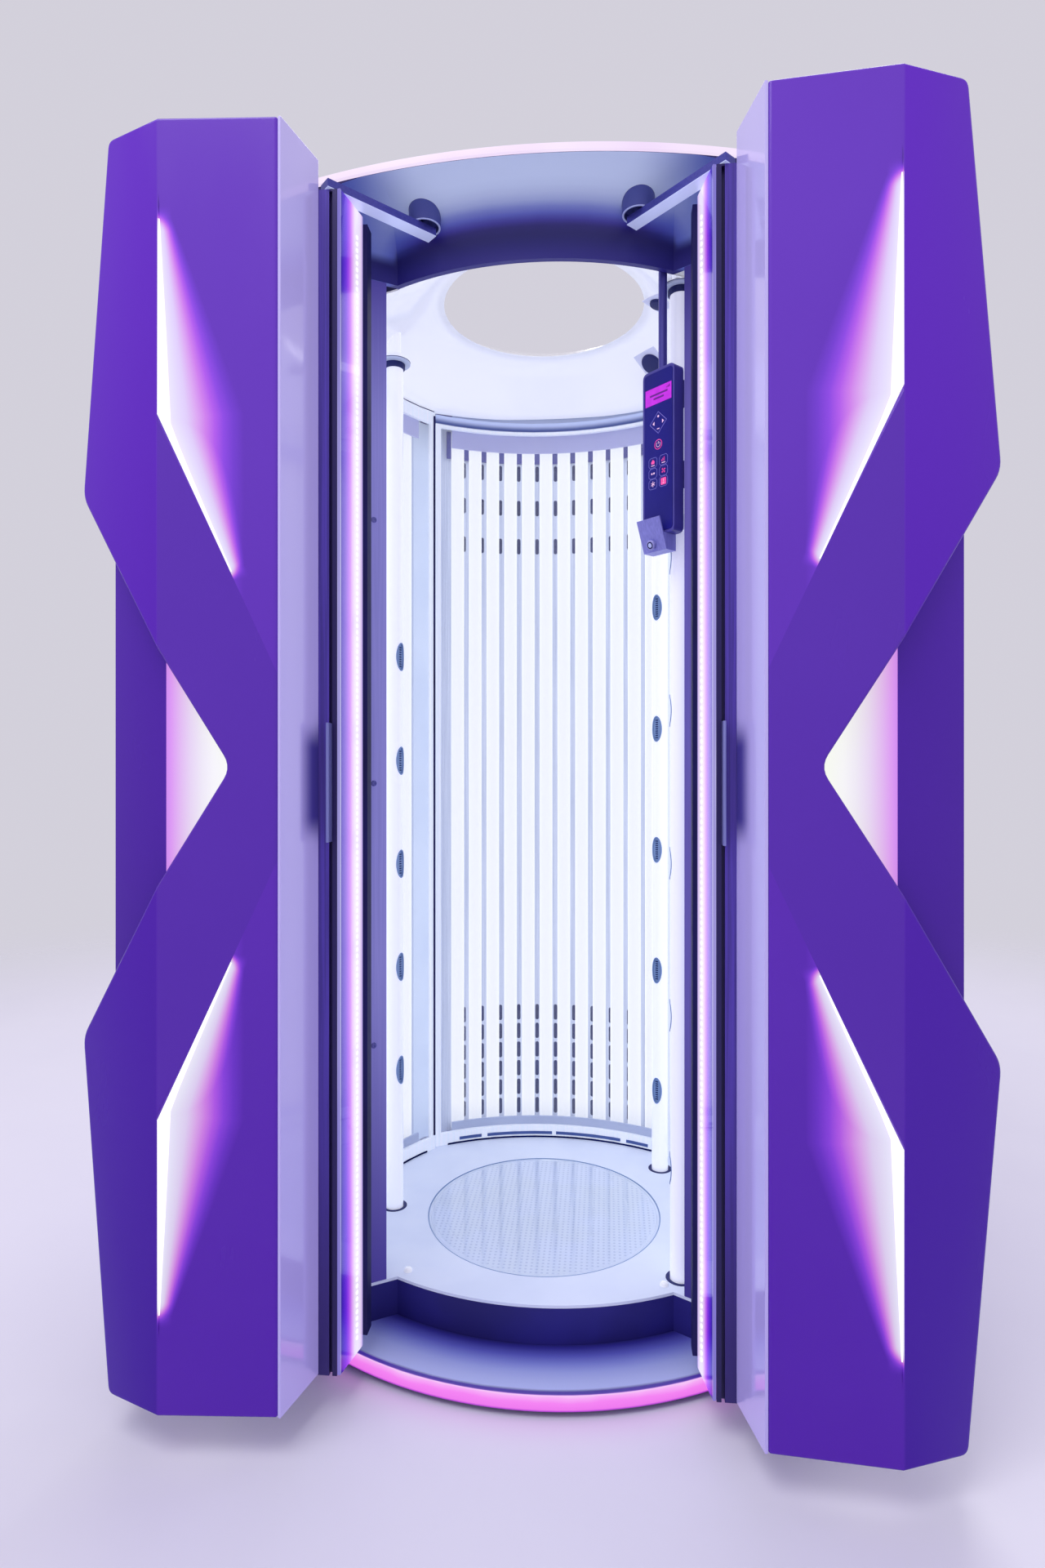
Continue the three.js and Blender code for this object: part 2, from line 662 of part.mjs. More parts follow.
function buildAirColumns() {
  for (const [name, { x, y, nozzles }] of Object.entries(AIR_COLUMNS)) {
    const profile = [
      [0, SOCKET_FLOOR + GAP],
      [AIR_R - AIR_CHAMFER, SOCKET_FLOOR + GAP],
      [AIR_R, SOCKET_FLOOR + GAP + AIR_CHAMFER],
      [AIR_R, AIR_TOP],
      [AIR_R - COLLAR_STEP, AIR_TOP],
      [AIR_R - COLLAR_STEP, AIR_TOP + COLLAR_HEIGHT],
      [STEM_R, AIR_TOP + COLLAR_HEIGHT],
      [STEM_R, STEM_TOP],
      [0, STEM_TOP],
    ];
    let column = revolve(profile, x, y, 24);
    const facing = Math.atan2(AIR_AIM[1] - y, AIR_AIM[0] - x);
    for (const z of nozzles) {
      const port = new THREE.CylinderGeometry(NOZZLE_R, NOZZLE_R, 2 * NOZZLE_DEPTH, 20);
      port.scale(1, 1, NOZZLE_TALL);
      port.rotateZ(Math.PI / 2);
      port.rotateZ(facing);
      port.translate(x + AIR_R * Math.cos(facing), y + AIR_R * Math.sin(facing), z);
      column = column.subtract(toSolid(port));
    }
    addPart(name, column, FINISH.white_gloss);
  }
}

// Canopy, ceiling and roof

/** Section of fascia with its cove, as [distance in front of the fascia line, z] points. */
function fasciaProfile() {
  const start = new THREE.Vector2(0, FASCIA_BOTTOM + COVE_START);
  const bend = new THREE.Vector2(0, CANOPY_UNDER - COVE_BEND);
  const end = new THREE.Vector2(COVE_REACH, CANOPY_UNDER);
  const cove = new THREE.QuadraticBezierCurve(start, bend, end).getPoints(9).map((p) => [p.x, p.y]);
  const top = CANOPY_UNDER + 2;
  return [[-RISER_THICK, FASCIA_BOTTOM], [0, FASCIA_BOTTOM], ...cove, [COVE_REACH, top], [-RISER_THICK, top]];
}

/** Flared round space from the ceiling up to the roof, leaning back as it widens. */
function flare(grow, low, high) {
  const height = ROOF_TOP - OPENING_Z;
  const radius = (z) => OPENING_R + grow + (FLARE_OUT * (z - OPENING_Z)) / height;
  const geometry = new THREE.CylinderGeometry(radius(high), radius(low), high - low, 64);
  geometry.rotateX(Math.PI / 2);
  geometry.translate(0, 0, (low + high) / 2 - OPENING_Z);
  geometry.applyMatrix4(new THREE.Matrix4().makeShear(0, 0, 0, 0, 0, FLARE_BACK / height));
  geometry.translate(0, 0, OPENING_Z);
  return toSolid(geometry);
}

function buildCanopy() {
  const inset = SHELL_THICK + GAP;
  const profile = fasciaProfile();
  const ringProfile = profile.map(([out, z]) => [FRONT_ARC_R + out, z]);
  const middle = FRONT_ARC_Y + FRONT_ARC_R;
  const ring = revolve(ringProfile, 0, middle, 128);
  const far = 4 * FRONT_ARC_R;
  const half = FRONT_CORNER[0] / (middle - FRONT_CORNER[1]);
  const slice = prism([[0, middle], [-far * half, middle - far], [far * half, middle - far]], 0, CUT_TOP);
  const bulge = ring.intersect(slice);

  const run = new THREE.Vector2(BODY_CORNER[0] - FRONT_CORNER[0], BODY_CORNER[1] - FRONT_CORNER[1]);
  const depth = run.length() + 2 * CORNER_LAP;
  const straight = new THREE.ExtrudeGeometry(shapeOf(profile), { depth, bevelEnabled: false });
  const basis = new THREE.Matrix4();
  const along = new THREE.Vector3(run.x, run.y, 0).normalize();
  const outward = new THREE.Vector3(along.y, -along.x, 0);
  basis.makeBasis(outward, new THREE.Vector3(0, 0, 1), along.clone());
  basis.setPosition(FRONT_CORNER[0] - along.x * CORNER_LAP, FRONT_CORNER[1] - along.y * CORNER_LAP, 0);
  straight.applyMatrix4(basis);
  const straightSolid = toSolid(straight);
  const behind = behindFront(RISER_THICK, 0, CUT_TOP);

  const plateTop = CANOPY_UNDER + CANOPY_THICK;
  let plate = canopySlab(STRIP_DEPTH + GAP, 0, CANOPY_UNDER, plateTop);
  const skylight = flare(GAP, OPENING_Z, ROOF_TOP + CUT_LAP);
  plate = plate.subtract(skylight);
  plate = plate.subtract(bar(0, FAN_Y, FAN_R - FAN_WALL, CUT_LOW, CUT_TOP, 32));
  const inner = canopySlab(STRIP_DEPTH + GAP, inset, 0, CUT_TOP);
  const bossSpace = bar(PIVOT[0], PIVOT[1], BOSS_R + GAP, CUT_LOW, CANOPY_UNDER, 40);
  let walls = join(bulge, straightSolid, mirrored(straightSolid)).subtract(behind).intersect(inner);
  walls = walls.subtract(bossSpace).subtract(mirrored(bossSpace));
  addPart('canopy', join(plate, walls), FINISH.grey_satin);

  const stripFront = arcFront(RIM_ARC_Y, RIM_ARC_R, RIM_HALF, 0, 28);
  const stripBack = arcFront(RIM_ARC_Y, RIM_ARC_R, RIM_HALF, STRIP_DEPTH, 28);
  addPart('canopy_light_strip', prism([...stripFront, ...stripBack.reverse()], CANOPY_UNDER, plateTop),
    FINISH.pink_light);

  const lip = OPENING_R - FLARE_WALL;
  const sweep = [];
  for (let i = 0; i <= 6; i += 1) {
    const drop = (CEILING_DROP * (1 - Math.cos((Math.PI * i) / 6))) / 2;
    sweep.push([OPENING_R + OPENING_LIP + (CEILING_REACH * i) / 6, OPENING_Z - drop]);
  }
  sweep.push([OPENING_R + OPENING_LIP + CEILING_REACH + CEILING_EDGE, OPENING_Z - CEILING_DROP]);
  const upperSide = sweep.slice(1).map(([radius, z]) => [radius, z + CEILING_SKIN]).reverse();
  const ceilingProfile = [[lip, OPENING_Z], ...sweep, ...upperSide, [lip, OPENING_Z + OPENING_LIP]];
  const funnel = flare(0, OPENING_Z, ROOF_TOP);
  const throat = flare(-FLARE_WALL, OPENING_Z - 1, ROOF_TOP + 1);
  const dome = revolve(ceilingProfile, 0, 0, 60).add(funnel).subtract(throat);
  const sideFrom = SIDE_LEAN - SIDE_SPAN - 2;
  const side = arc(SIDE_WALL_X, SIDE_WALL_Y, SIDE_WALL_R, sideFrom, SIDE_LEAN + SIDE_SPAN, 12);
  const backEdge = arc(0, BACK_WALL_Y, BACK_WALL_R, 90 - BACK_SPAN, 90 + BACK_SPAN, 16);
  const doorSide = FRONT_CORNER[0] + 10;
  const ahead = 2 * FRONT_CORNER[1];
  const cabinPlan = [[-doorSide, ahead], [doorSide, ahead], ...side, ...backEdge, ...flipped(side)];
  const cabin = prism(cabinPlan, CUT_LOW, CUT_TOP);
  let ceilingRing = dome.intersect(cabin).intersect(behindFront(JAMB_THICK + GAP, CUT_LOW, CUT_TOP));
  for (const { x, y } of Object.values(AIR_COLUMNS)) {
    ceilingRing = ceilingRing.subtract(bar(x, y, STEM_R + GAP, CUT_LOW, CUT_TOP, 24));
  }
  ceilingRing = ceilingRing.subtract(bar(ROD_X, ROD_Y, ROD_R + GAP, CUT_LOW, CUT_TOP, 24));
  addPart('ceiling_ring', ceilingRing, FINISH.white_gloss);

  const lid = canopySlab(ROOF_FRONT, ROOF_SIDE, ROOF_LOW, ROOF_TOP);
  const under = ROOF_TOP - ROOF_WALL;
  const hollow = canopySlab(ROOF_FRONT + ROOF_WALL, ROOF_SIDE + ROOF_WALL, ROOF_LOW - 1, under);
  let roof = lid.subtract(hollow).subtract(skylight);
  for (let i = -3; i <= 3; i += 1) {
    const reach = Math.sqrt(FAN_R ** 2 - (i * GRILLE_PITCH) ** 2) - 8;
    const y = FAN_Y + i * GRILLE_PITCH;
    roof = roof.subtract(box([-reach, y - GRILLE_SLOT / 2, CUT_LOW], [reach, y + GRILLE_SLOT / 2, CUT_TOP]));
  }
  addPart('roof_cover', roof, FINISH.white_satin);
}

/** Slab with the plan of the canopy, set back from its curved front edge and from the shells. */
function canopySlab(frontInset, inset, low, high) {
  const edge = arcFront(RIM_ARC_Y, RIM_ARC_R, 2 * RIM_HALF, frontInset, 40);
  const front = prism([...edge, [edge.at(-1)[0], CUT_OUT], [edge[0][0], CUT_OUT]], low, high);
  return front.intersect(insideShell(inset, low, high));
}

// Fan, ballasts and mains entry

function buildServices() {
  const top = CANOPY_UNDER - GAP;
  const low = top - FAN_HEIGHT;
  const bore = bar(0, FAN_Y, FAN_R - FAN_WALL, low - 1, top + 1, 36);
  const tube = bar(0, FAN_Y, FAN_R, low, top, 36).subtract(bore);
  const motorLow = top - MOTOR_HEIGHT;
  const motor = bar(0, FAN_Y, FAN_HUB_R, motorLow, top, 24);
  const spokes = [];
  for (let i = 0; i < 3; i += 1) {
    const spoke = box([0, -SPOKE_WIDTH / 2, top - SPOKE_HEIGHT - 2], [FAN_R - 1, SPOKE_WIDTH / 2, top - 2]);
    spokes.push(spoke.rotate([0, 0, 90 + i * 120]).translate([0, FAN_Y, 0]));
  }
  addPart('fan_housing', join(tube, motor, ...spokes), FINISH.dark_plastic);

  const rotorTop = motorLow - ROTOR_GAP;
  const hub = bar(0, 0, FAN_HUB_R, rotorTop - ROTOR_HEIGHT, rotorTop, 24);
  const bladeEnd = FAN_R - FAN_WALL - BLADE_TIP_GAP;
  const blades = [];
  for (let i = 0; i < BLADE_COUNT; i += 1) {
    const flat = box([FAN_HUB_R - 3, -BLADE_CHORD / 2, -BLADE_THICK / 2],
      [bladeEnd, BLADE_CHORD / 2, BLADE_THICK / 2]);
    const blade = flat.rotate([BLADE_PITCH, 0, 0]).translate([0, 0, rotorTop - ROTOR_HEIGHT / 2]);
    blades.push(blade.rotate([0, 0, (360 * i) / BLADE_COUNT]));
  }
  const swept = bar(0, 0, bladeEnd, low, top, 36);
  addPart('fan_rotor', join(hub, ...blades).intersect(swept).translate([0, FAN_Y, 0]), FINISH.dark_plastic);

  const rackBack = RACK_Y + RACK_THICK;
  const rack = box([-RACK_WIDTH / 2, RACK_Y, DECK_TOP + GAP], [RACK_WIDTH / 2, rackBack, RACK_TOP]);
  const packs = [];
  for (let row = 0; row < PACK_ROWS; row += 1) {
    for (let i = 0; i < PACK_COLUMNS; i += 1) {
      const x = (i - (PACK_COLUMNS - 1) / 2) * PACK_PITCH_X;
      const z = PACK_LOW + row * PACK_PITCH_Z;
      const packBack = rackBack + PACK_DEPTH;
      packs.push(box([x - PACK_WIDTH / 2, rackBack - 1, z], [x + PACK_WIDTH / 2, packBack, z + PACK_HEIGHT]));
    }
  }
  addPart('ballast_rack', join(rack, ...packs), FINISH.steel);

  const seat = ROOF_TOP + GAP;
  const glandTop = seat + GLAND_HEIGHT;
  const gland = [[0, seat], [GLAND_FLANGE_R, seat], [GLAND_FLANGE_R, seat + GLAND_FLANGE],
    [GLAND_R, seat + GLAND_FLANGE], [GLAND_R, glandTop - 4], [GLAND_NECK_R, glandTop], [0, glandTop]];
  addPart('mains_gland', revolve(gland, GLAND[0], GLAND[1], 24), FINISH.rubber);
}

// Control unit on its rod

/** Places a solid made around the rod axis, front towards -Y, as it hangs in the cabin. */
function hang(solid) {
  return solid.rotate([0, 0, UNIT_TURN]).translate([ROD_X, ROD_Y, 0]);
}

/** Front-view rectangle as four [x, z] corners, drawn in by a margin. */
function plateCorners(half, low, high, marginX = 0, marginZ = 0) {
  const x = half - marginX;
  return [[-x, low + marginZ], [x, low + marginZ], [x, high - marginZ], [-x, high - marginZ]];
}

function buildControl() {
  const rodLow = UNIT_TOP - ROD_SINK;
  addPart('control_rod', bar(ROD_X, ROD_Y, ROD_R, rodLow, ROD_TOP, 24), FINISH.dark_metal);

  const half = UNIT_WIDTH / 2;
  const outline = rounded(plateCorners(half, UNIT_BOTTOM, UNIT_TOP), UNIT_ROUND * 1.4);
  const panelFace = rounded(
    plateCorners(half, UNIT_BOTTOM, UNIT_TOP, PANEL_MARGIN, PANEL_MARGIN_Z), UNIT_ROUND);
  const pocket = rounded(
    plateCorners(half, UNIT_BOTTOM, UNIT_TOP, PANEL_MARGIN - GAP, PANEL_MARGIN_Z - GAP), UNIT_ROUND);
  const face = -UNIT_FRONT;
  let housing = facePrism(outline, face, UNIT_BACK);
  housing = housing.subtract(bar(0, 0, ROD_R + GAP, rodLow - GAP, UNIT_TOP + 1, 24));
  housing = housing.subtract(facePrism(pocket, face - 1, face + PANEL_THICK));
  for (const drop of PAD_DROPS) {
    const padTop = UNIT_TOP - drop;
    housing = housing.add(box([0, UNIT_BACK - 1, padTop - PAD_HEIGHT],
      [half - PAD_INSET, UNIT_BACK + PAD_THICK, padTop]));
  }
  addPart('control_housing', hang(housing), FINISH.dark_metal);

  const panelFront = face - PANEL_PROUD;
  const panelBack = face + PANEL_THICK - GAP;
  const screenBack = panelFront + SCREEN_DEPTH;
  const window = plateCorners(SCREEN_WIDTH / 2, SCREEN_LOW, SCREEN_HIGH);
  const panel = facePrism(panelFace, panelFront, panelBack)
    .subtract(facePrism(window, panelFront - 1, screenBack));
  addPart('control_panel', hang(panel), FINISH.dark_plastic);
  const glass = plateCorners(SCREEN_WIDTH / 2, SCREEN_LOW, SCREEN_HIGH, GAP, GAP);
  addPart('control_screen', hang(facePrism(glass, panelFront + 0.1, screenBack - 0.1)), FINISH.screen);

  buildStop();
}

/** Point on the stop bracket's leaning plate as [y, z]: up along its front, then in from it. */
function onPlate(up, inset) {
  const lean = THREE.MathUtils.degToRad(BRACKET_LEAN);
  const y = -UNIT_FRONT - up * Math.sin(lean) + inset * Math.cos(lean);
  return [y, BRACKET_LOW + up * Math.cos(lean) + inset * Math.sin(lean)];
}

/** Length up the inside of the leaning plate at which it reaches a height above the bracket's foot. */
function plateReach(height) {
  const lean = THREE.MathUtils.degToRad(BRACKET_LEAN);
  return (height - BRACKET_THICK * Math.sin(lean)) / Math.cos(lean);
}

/** Solid of a side-view outline of [y, z] points, from one x to another. */
function sidePrism(points, left, right) {
  return facePrism(points, -right, -left).rotate([0, 0, 90]);
}

/** Folded stop bracket below the housing, open at its back, and the stop button in its leaning plate. */
function buildStop() {
  const seat = UNIT_BOTTOM - GAP;
  const left = BRACKET_SIDE - BRACKET_WIDTH / 2;
  const right = BRACKET_SIDE + BRACKET_WIDTH / 2;
  const shell = sidePrism([
    onPlate(0, 0),
    [UNIT_BACK, BRACKET_LOW],
    [UNIT_BACK, seat],
    onPlate(plateReach(seat - BRACKET_LOW), BRACKET_THICK),
    onPlate(BRACKET_PLATE, BRACKET_THICK),
    onPlate(BRACKET_PLATE, 0),
  ], left, right);
  const cavity = sidePrism([
    onPlate(plateReach(BRACKET_THICK), BRACKET_THICK),
    [UNIT_BACK + 1, BRACKET_LOW + BRACKET_THICK],
    [UNIT_BACK + 1, seat - BRACKET_THICK],
    onPlate(plateReach(seat - BRACKET_THICK - BRACKET_LOW), BRACKET_THICK),
  ], left + BRACKET_THICK, right - BRACKET_THICK);
  const buttonX = BRACKET_SIDE + BUTTON_SIDE;
  const bore = new THREE.CylinderGeometry(BUTTON_STEM_R + GAP, BUTTON_STEM_R + GAP, 4 * BRACKET_THICK, 24);
  bore.rotateX(THREE.MathUtils.degToRad(BRACKET_LEAN));
  bore.translate(buttonX, ...onPlate(BUTTON_RISE, 0));
  const bracket = shell.subtract(cavity).subtract(toSolid(bore));
  addPart('stop_bracket', hang(bracket), FINISH.dark_metal);

  const capTop = BUTTON_STEM + BUTTON_OUT;
  const cap = [[0, 0], [BUTTON_STEM_R, 0], [BUTTON_STEM_R, BUTTON_STEM], [BUTTON_R, BUTTON_STEM],
    [BUTTON_R, capTop - 2], [BUTTON_R - 2, capTop], [0, capTop]];
  const button = revolve(cap, 0, 0, 28).rotate([90 + BRACKET_LEAN, 0, 0]);
  const place = [buttonX, ...onPlate(BUTTON_RISE, BUTTON_STEM - BUTTON_TRAVEL)];
  addPart('stop_button', hang(button.translate(place)), FINISH.red);
}

// Doors

/** Inner face of the return panel in plan, from its front edge towards the column. */
function returnLean() {
  return (RETURN_BACK_X - RETURN_FRONT[0]) / (COLUMN_FRONT - RETURN_FRONT[1]);
}

/** Inner edge of the cover, beside the return panel. */
function coverInner() {
  const lean = returnLean();
  const beside = (RETURN_THICK + GAP) * Math.hypot(1, lean);
  return [RETURN_FRONT[0] + lean * (COVER_INNER_Y - RETURN_FRONT[1]) + beside, COVER_INNER_Y];
}

/** Folded door front in plan: inner edge, fold and outer edge, set back by a distance. */
function doorLine(setback, outerX) {
  const slope = (COVER_OUTER[1] - COVER_FOLD[1]) / (COVER_OUTER[0] - COVER_FOLD[0]);
  const [innerX, innerY] = coverInner();
  const outerY = COVER_FOLD[1] + slope * (outerX - COVER_FOLD[0]);
  return [
    [innerX + returnLean() * setback, innerY + setback],
    [COVER_FOLD[0], COVER_FOLD[1] + setback],
    [outerX, outerY + setback],
  ];
}

/** Half X outline of the raised door cover in front view. */
function coverOutline() {
  const left = coverInner()[0] - CUT_LAP;
  const points = [[left, DOOR_BOTTOM], [COVER_OUTER[0], DOOR_BOTTOM], [BULGE_X, DOOR_MIDDLE - BULGE_Z],
    [NOTCH_X, DOOR_MIDDLE], [BULGE_X, DOOR_MIDDLE + BULGE_Z], [COVER_OUTER[0], DOOR_TOP], [left, DOOR_TOP]];
  return rounded(points, [1, 14, 20, NOTCH_ROUND, 20, 14, 1], 5);
}

/** Edge of the dished recess of a door pod, as [x, height above the middle] points from top to tip. */
function dishEdge() {
  const offsets = [[0, DISH_RISE], DISH_UPPER, DISH_LOWER, DISH_TIP];
  const points = offsets.map(([x, z]) => new THREE.Vector2(COVER_FOLD[0] + x, KINK_Z + z));
  return new THREE.CubicBezierCurve(...points).getPoints(10).map((p) => [p.x, p.y]);
}

/** Dished light recess of one door pod, deepest at its kink; side is 1 above the middle and -1 below. */
function dishSpace(side) {
  const [innerX, innerY] = coverInner();
  const [foldX, foldY] = COVER_FOLD;
  const slope = (foldY - innerY) / (foldX - innerX);
  const points = [...dishEdge(), [foldX, KINK_Z]].flatMap(([x, z]) => {
    const y = innerY + slope * (x - innerX);
    const height = DOOR_MIDDLE + side * z;
    return [new THREE.Vector3(x, y, height), new THREE.Vector3(x, y - CUT_LAP, height)];
  });
  points.push(new THREE.Vector3(foldX, foldY + DISH_DEPTH, DOOR_MIDDLE + side * KINK_Z));
  return toSolid(new ConvexGeometry(points));
}

function buildDoor() {
  const outer = BULGE_X + CUT_LAP;
  const coverPlan = [...doorLine(0, outer), ...doorLine(COVER_THICK, outer).reverse()];
  const face = facePrism(coverOutline(), -CUT_OUT, 0);
  const cover = prism(coverPlan, DOOR_BOTTOM, DOOR_TOP).intersect(face)
    .subtract(dishSpace(1)).subtract(dishSpace(-1));

  const bodyFront = doorLine(COVER_THICK + GAP, BODY_EDGE);
  const bodyBack = doorLine(COVER_THICK + GAP + BODY_THICK, BODY_EDGE);
  const body = prism([...bodyFront, ...bodyBack.reverse()], DOOR_BOTTOM + 2, DOOR_TOP - 2);

  const seatY = COLUMN_FRONT - GAP;
  const pastColumn = [RETURN_BACK_X + returnLean() * COLUMN_DEPTH, COLUMN_FRONT + COLUMN_DEPTH];
  const panel = wall([pastColumn, RETURN_FRONT], RETURN_THICK, DOOR_BOTTOM, DOOR_TOP)
    .subtract(box([0, seatY, 0], [CUT_OUT, 0, CUT_TOP]));

  const left = COLUMN_X - COLUMN_WIDTH / 2;
  const right = COLUMN_X + COLUMN_WIDTH / 2;
  const slotLeft = COLUMN_SLOT_X - COLUMN_SLOT_WIDTH / 2;
  const slotRight = COLUMN_SLOT_X + COLUMN_SLOT_WIDTH / 2;
  const slotBack = COLUMN_FRONT + COLUMN_SLOT_DEPTH;
  const columnBack = COLUMN_FRONT + COLUMN_DEPTH;
  const armLow = COLUMN_TOP + 1;
  const postTop = armLow + ARM_HEIGHT - ARM_WALL - 1;
  const post = bar(ARM_END[0], ARM_END[1], POST_R, COLUMN_TOP - 5, postTop, 24);
  const slot = box([slotLeft, COLUMN_FRONT - 1, 0], [slotRight, slotBack, COLUMN_TOP - COLUMN_CAP]);
  const column = box([left, COLUMN_FRONT, DOOR_BOTTOM - 2], [right, columnBack, COLUMN_TOP])
    .subtract(slot).add(post);

  const finLean = (FIN_FAR[0] - FIN_NEAR[0]) / (FIN_FAR[1] - FIN_NEAR[1]);
  const pastFin = [FIN_FAR[0] + finLean * SEAL_DEPTH, FIN_FAR[1] + SEAL_DEPTH];
  const fin = wall([pastFin, FIN_NEAR], -FIN_THICK, DOOR_BOTTOM, COLUMN_TOP)
    .subtract(box([0, SEAL_FRONT - GAP, 0], [CUT_OUT, 0, CUT_TOP]));
  const sealBack = SEAL_FRONT + SEAL_DEPTH;
  const sealCorners = [[SEAL_X, SEAL_FRONT], [SEAL_X + SEAL_WIDTH, SEAL_FRONT],
    [SEAL_X + SEAL_WIDTH, sealBack], [SEAL_X, sealBack]];
  const seal = prism(rounded(sealCorners, [1, 1, 5, 5], 4), DOOR_BOTTOM + 20, COLUMN_TOP - 14);
  const handle = box([slotLeft + GAP, COLUMN_FRONT - HANDLE_REACH, HANDLE_LOW],
    [slotRight - GAP, slotBack - GAP, HANDLE_HIGH]);

  const direction = new THREE.Vector2(ARM_END[0] - PIVOT[0], ARM_END[1] - PIVOT[1]);
  const length = direction.length();
  const turn = THREE.MathUtils.radToDeg(direction.angle());
  const place = (solid) => solid.rotate([0, 0, turn]).translate([PIVOT[0], PIVOT[1], 0]);
  const armTop = armLow + ARM_HEIGHT;
  const cavityHalf = ARM_WIDTH / 2 - ARM_WALL;
  const stadium = (radius) => [...arc(length, 0, radius, -90, 90, 12), ...arc(0, 0, radius, 90, 270, 12)];
  let arm = box([-ARM_TAIL, -ARM_WIDTH / 2, armLow], [length + ARM_TAIL, ARM_WIDTH / 2, armTop]);
  arm = arm.subtract(prism(stadium(cavityHalf), armLow + ARM_WALL, armTop - ARM_WALL));
  arm = arm.subtract(bar(0, 0, POST_R + RUN_GAP * 4, armTop - ARM_WALL - 1, armTop + 1, 24));
  arm = arm.subtract(bar(length, 0, POST_R + RUN_GAP * 4, armLow - 1, armLow + ARM_WALL + 1, 24));
  const beltIn = POST_R + RUN_GAP * 4;
  const beltLow = armLow + ARM_WALL + GAP;
  const beltHigh = armTop - ARM_WALL - GAP;
  const belt = prism(stadium(beltIn + BELT_THICK), beltLow, beltHigh).subtract(
    prism(stadium(beltIn), beltLow - 1, beltHigh + 1));

  const bossLow = armTop + 1;
  const bossTop = CANOPY_UNDER - GAP;
  const bossPost = bar(PIVOT[0], PIVOT[1], POST_R, armLow + ARM_WALL + 1, bossTop, 24);
  const cup = bar(PIVOT[0], PIVOT[1], BOSS_CUP_R, bossLow - 1, bossLow + BOSS_CUP_DEPTH, 36);
  const boss = bar(PIVOT[0], PIVOT[1], BOSS_R, bossLow, bossTop, 40).subtract(cup).add(bossPost);

  const pieces = {
    door_cover: [cover, FINISH.white_gloss],
    door_body: [body, FINISH.white_gloss],
    return_panel: [panel, FINISH.white_gloss],
    door_column: [column, FINISH.dark_metal],
    door_fin: [fin, FINISH.acrylic],
    door_seal: [seal, FINISH.rubber],
    door_handle: [handle, FINISH.aluminium],
    swing_arm: [place(arm), FINISH.dark_metal],
    guide_belt: [place(belt), FINISH.rubber],
    pivot_boss: [boss, FINISH.dark_metal],
  };
  for (const [name, [solid, finish]] of Object.entries(pieces)) {
    addPart(`right_${name}`, solid, finish);
    addPart(`left_${name}`, mirrored(solid), finish);
  }
}

buildBase();
buildBody();
buildAirColumns();
buildCanopy();
buildServices();
buildControl();
buildDoor();

export default booth;
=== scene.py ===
"""Looks of a stand-up tanning booth with two parallel-swing doors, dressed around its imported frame."""

import json
import logging
import math
from dataclasses import dataclass, field
from enum import Enum

import bmesh
import bpy
from mathutils import Matrix, Vector
from mathutils.bvhtree import BVHTree


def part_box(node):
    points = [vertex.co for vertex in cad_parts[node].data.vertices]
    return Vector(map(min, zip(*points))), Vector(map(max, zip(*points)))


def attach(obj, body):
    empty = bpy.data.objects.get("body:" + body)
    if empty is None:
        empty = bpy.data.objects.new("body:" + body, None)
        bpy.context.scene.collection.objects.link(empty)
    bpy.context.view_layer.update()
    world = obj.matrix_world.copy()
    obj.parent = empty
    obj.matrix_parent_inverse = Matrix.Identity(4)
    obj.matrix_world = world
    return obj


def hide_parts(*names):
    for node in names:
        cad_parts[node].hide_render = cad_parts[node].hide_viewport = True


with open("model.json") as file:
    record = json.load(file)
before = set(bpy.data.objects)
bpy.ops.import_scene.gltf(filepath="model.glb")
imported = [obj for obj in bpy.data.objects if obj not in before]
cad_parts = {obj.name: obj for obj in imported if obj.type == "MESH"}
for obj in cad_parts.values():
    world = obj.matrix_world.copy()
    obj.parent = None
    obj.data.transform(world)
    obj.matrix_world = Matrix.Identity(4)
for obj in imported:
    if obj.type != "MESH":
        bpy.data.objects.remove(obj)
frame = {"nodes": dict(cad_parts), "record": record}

LOG = logging.getLogger("booth")
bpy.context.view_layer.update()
WELD = 1e-5
Colour = tuple[float, float, float, float]
Point = tuple[float, float]


def tint(code: str) -> Colour:
    """Turns a display colour such as "6c43c3" into a linear colour.

    Args:
        code: Six hexadecimal digits.

    Returns:
        Linear red, green, blue and an alpha of 1.
    """
    parts = [int(code[i:i + 2], 16) / 255 for i in (0, 2, 4)]
    linear = [p / 12.92 if p <= 0.04045 else ((p + 0.055) / 1.055) ** 2.4 for p in parts]
    return (linear[0], linear[1], linear[2], 1.0)


class Side(Enum):
    """The two sides of the booth, seen from the front."""

    LEFT = -1
    RIGHT = 1

    @property
    def label(self) -> str:
        """Start of the node names on this side."""
        return self.name.lower()


class Grain(Enum):
    """Direction of the fine lines in a drawn or brushed metal, as a stretch of its pattern."""

    UPRIGHT = (260.0, 260.0, 3.0)
    ACROSS = (3.0, 260.0, 260.0)


# Shader maths


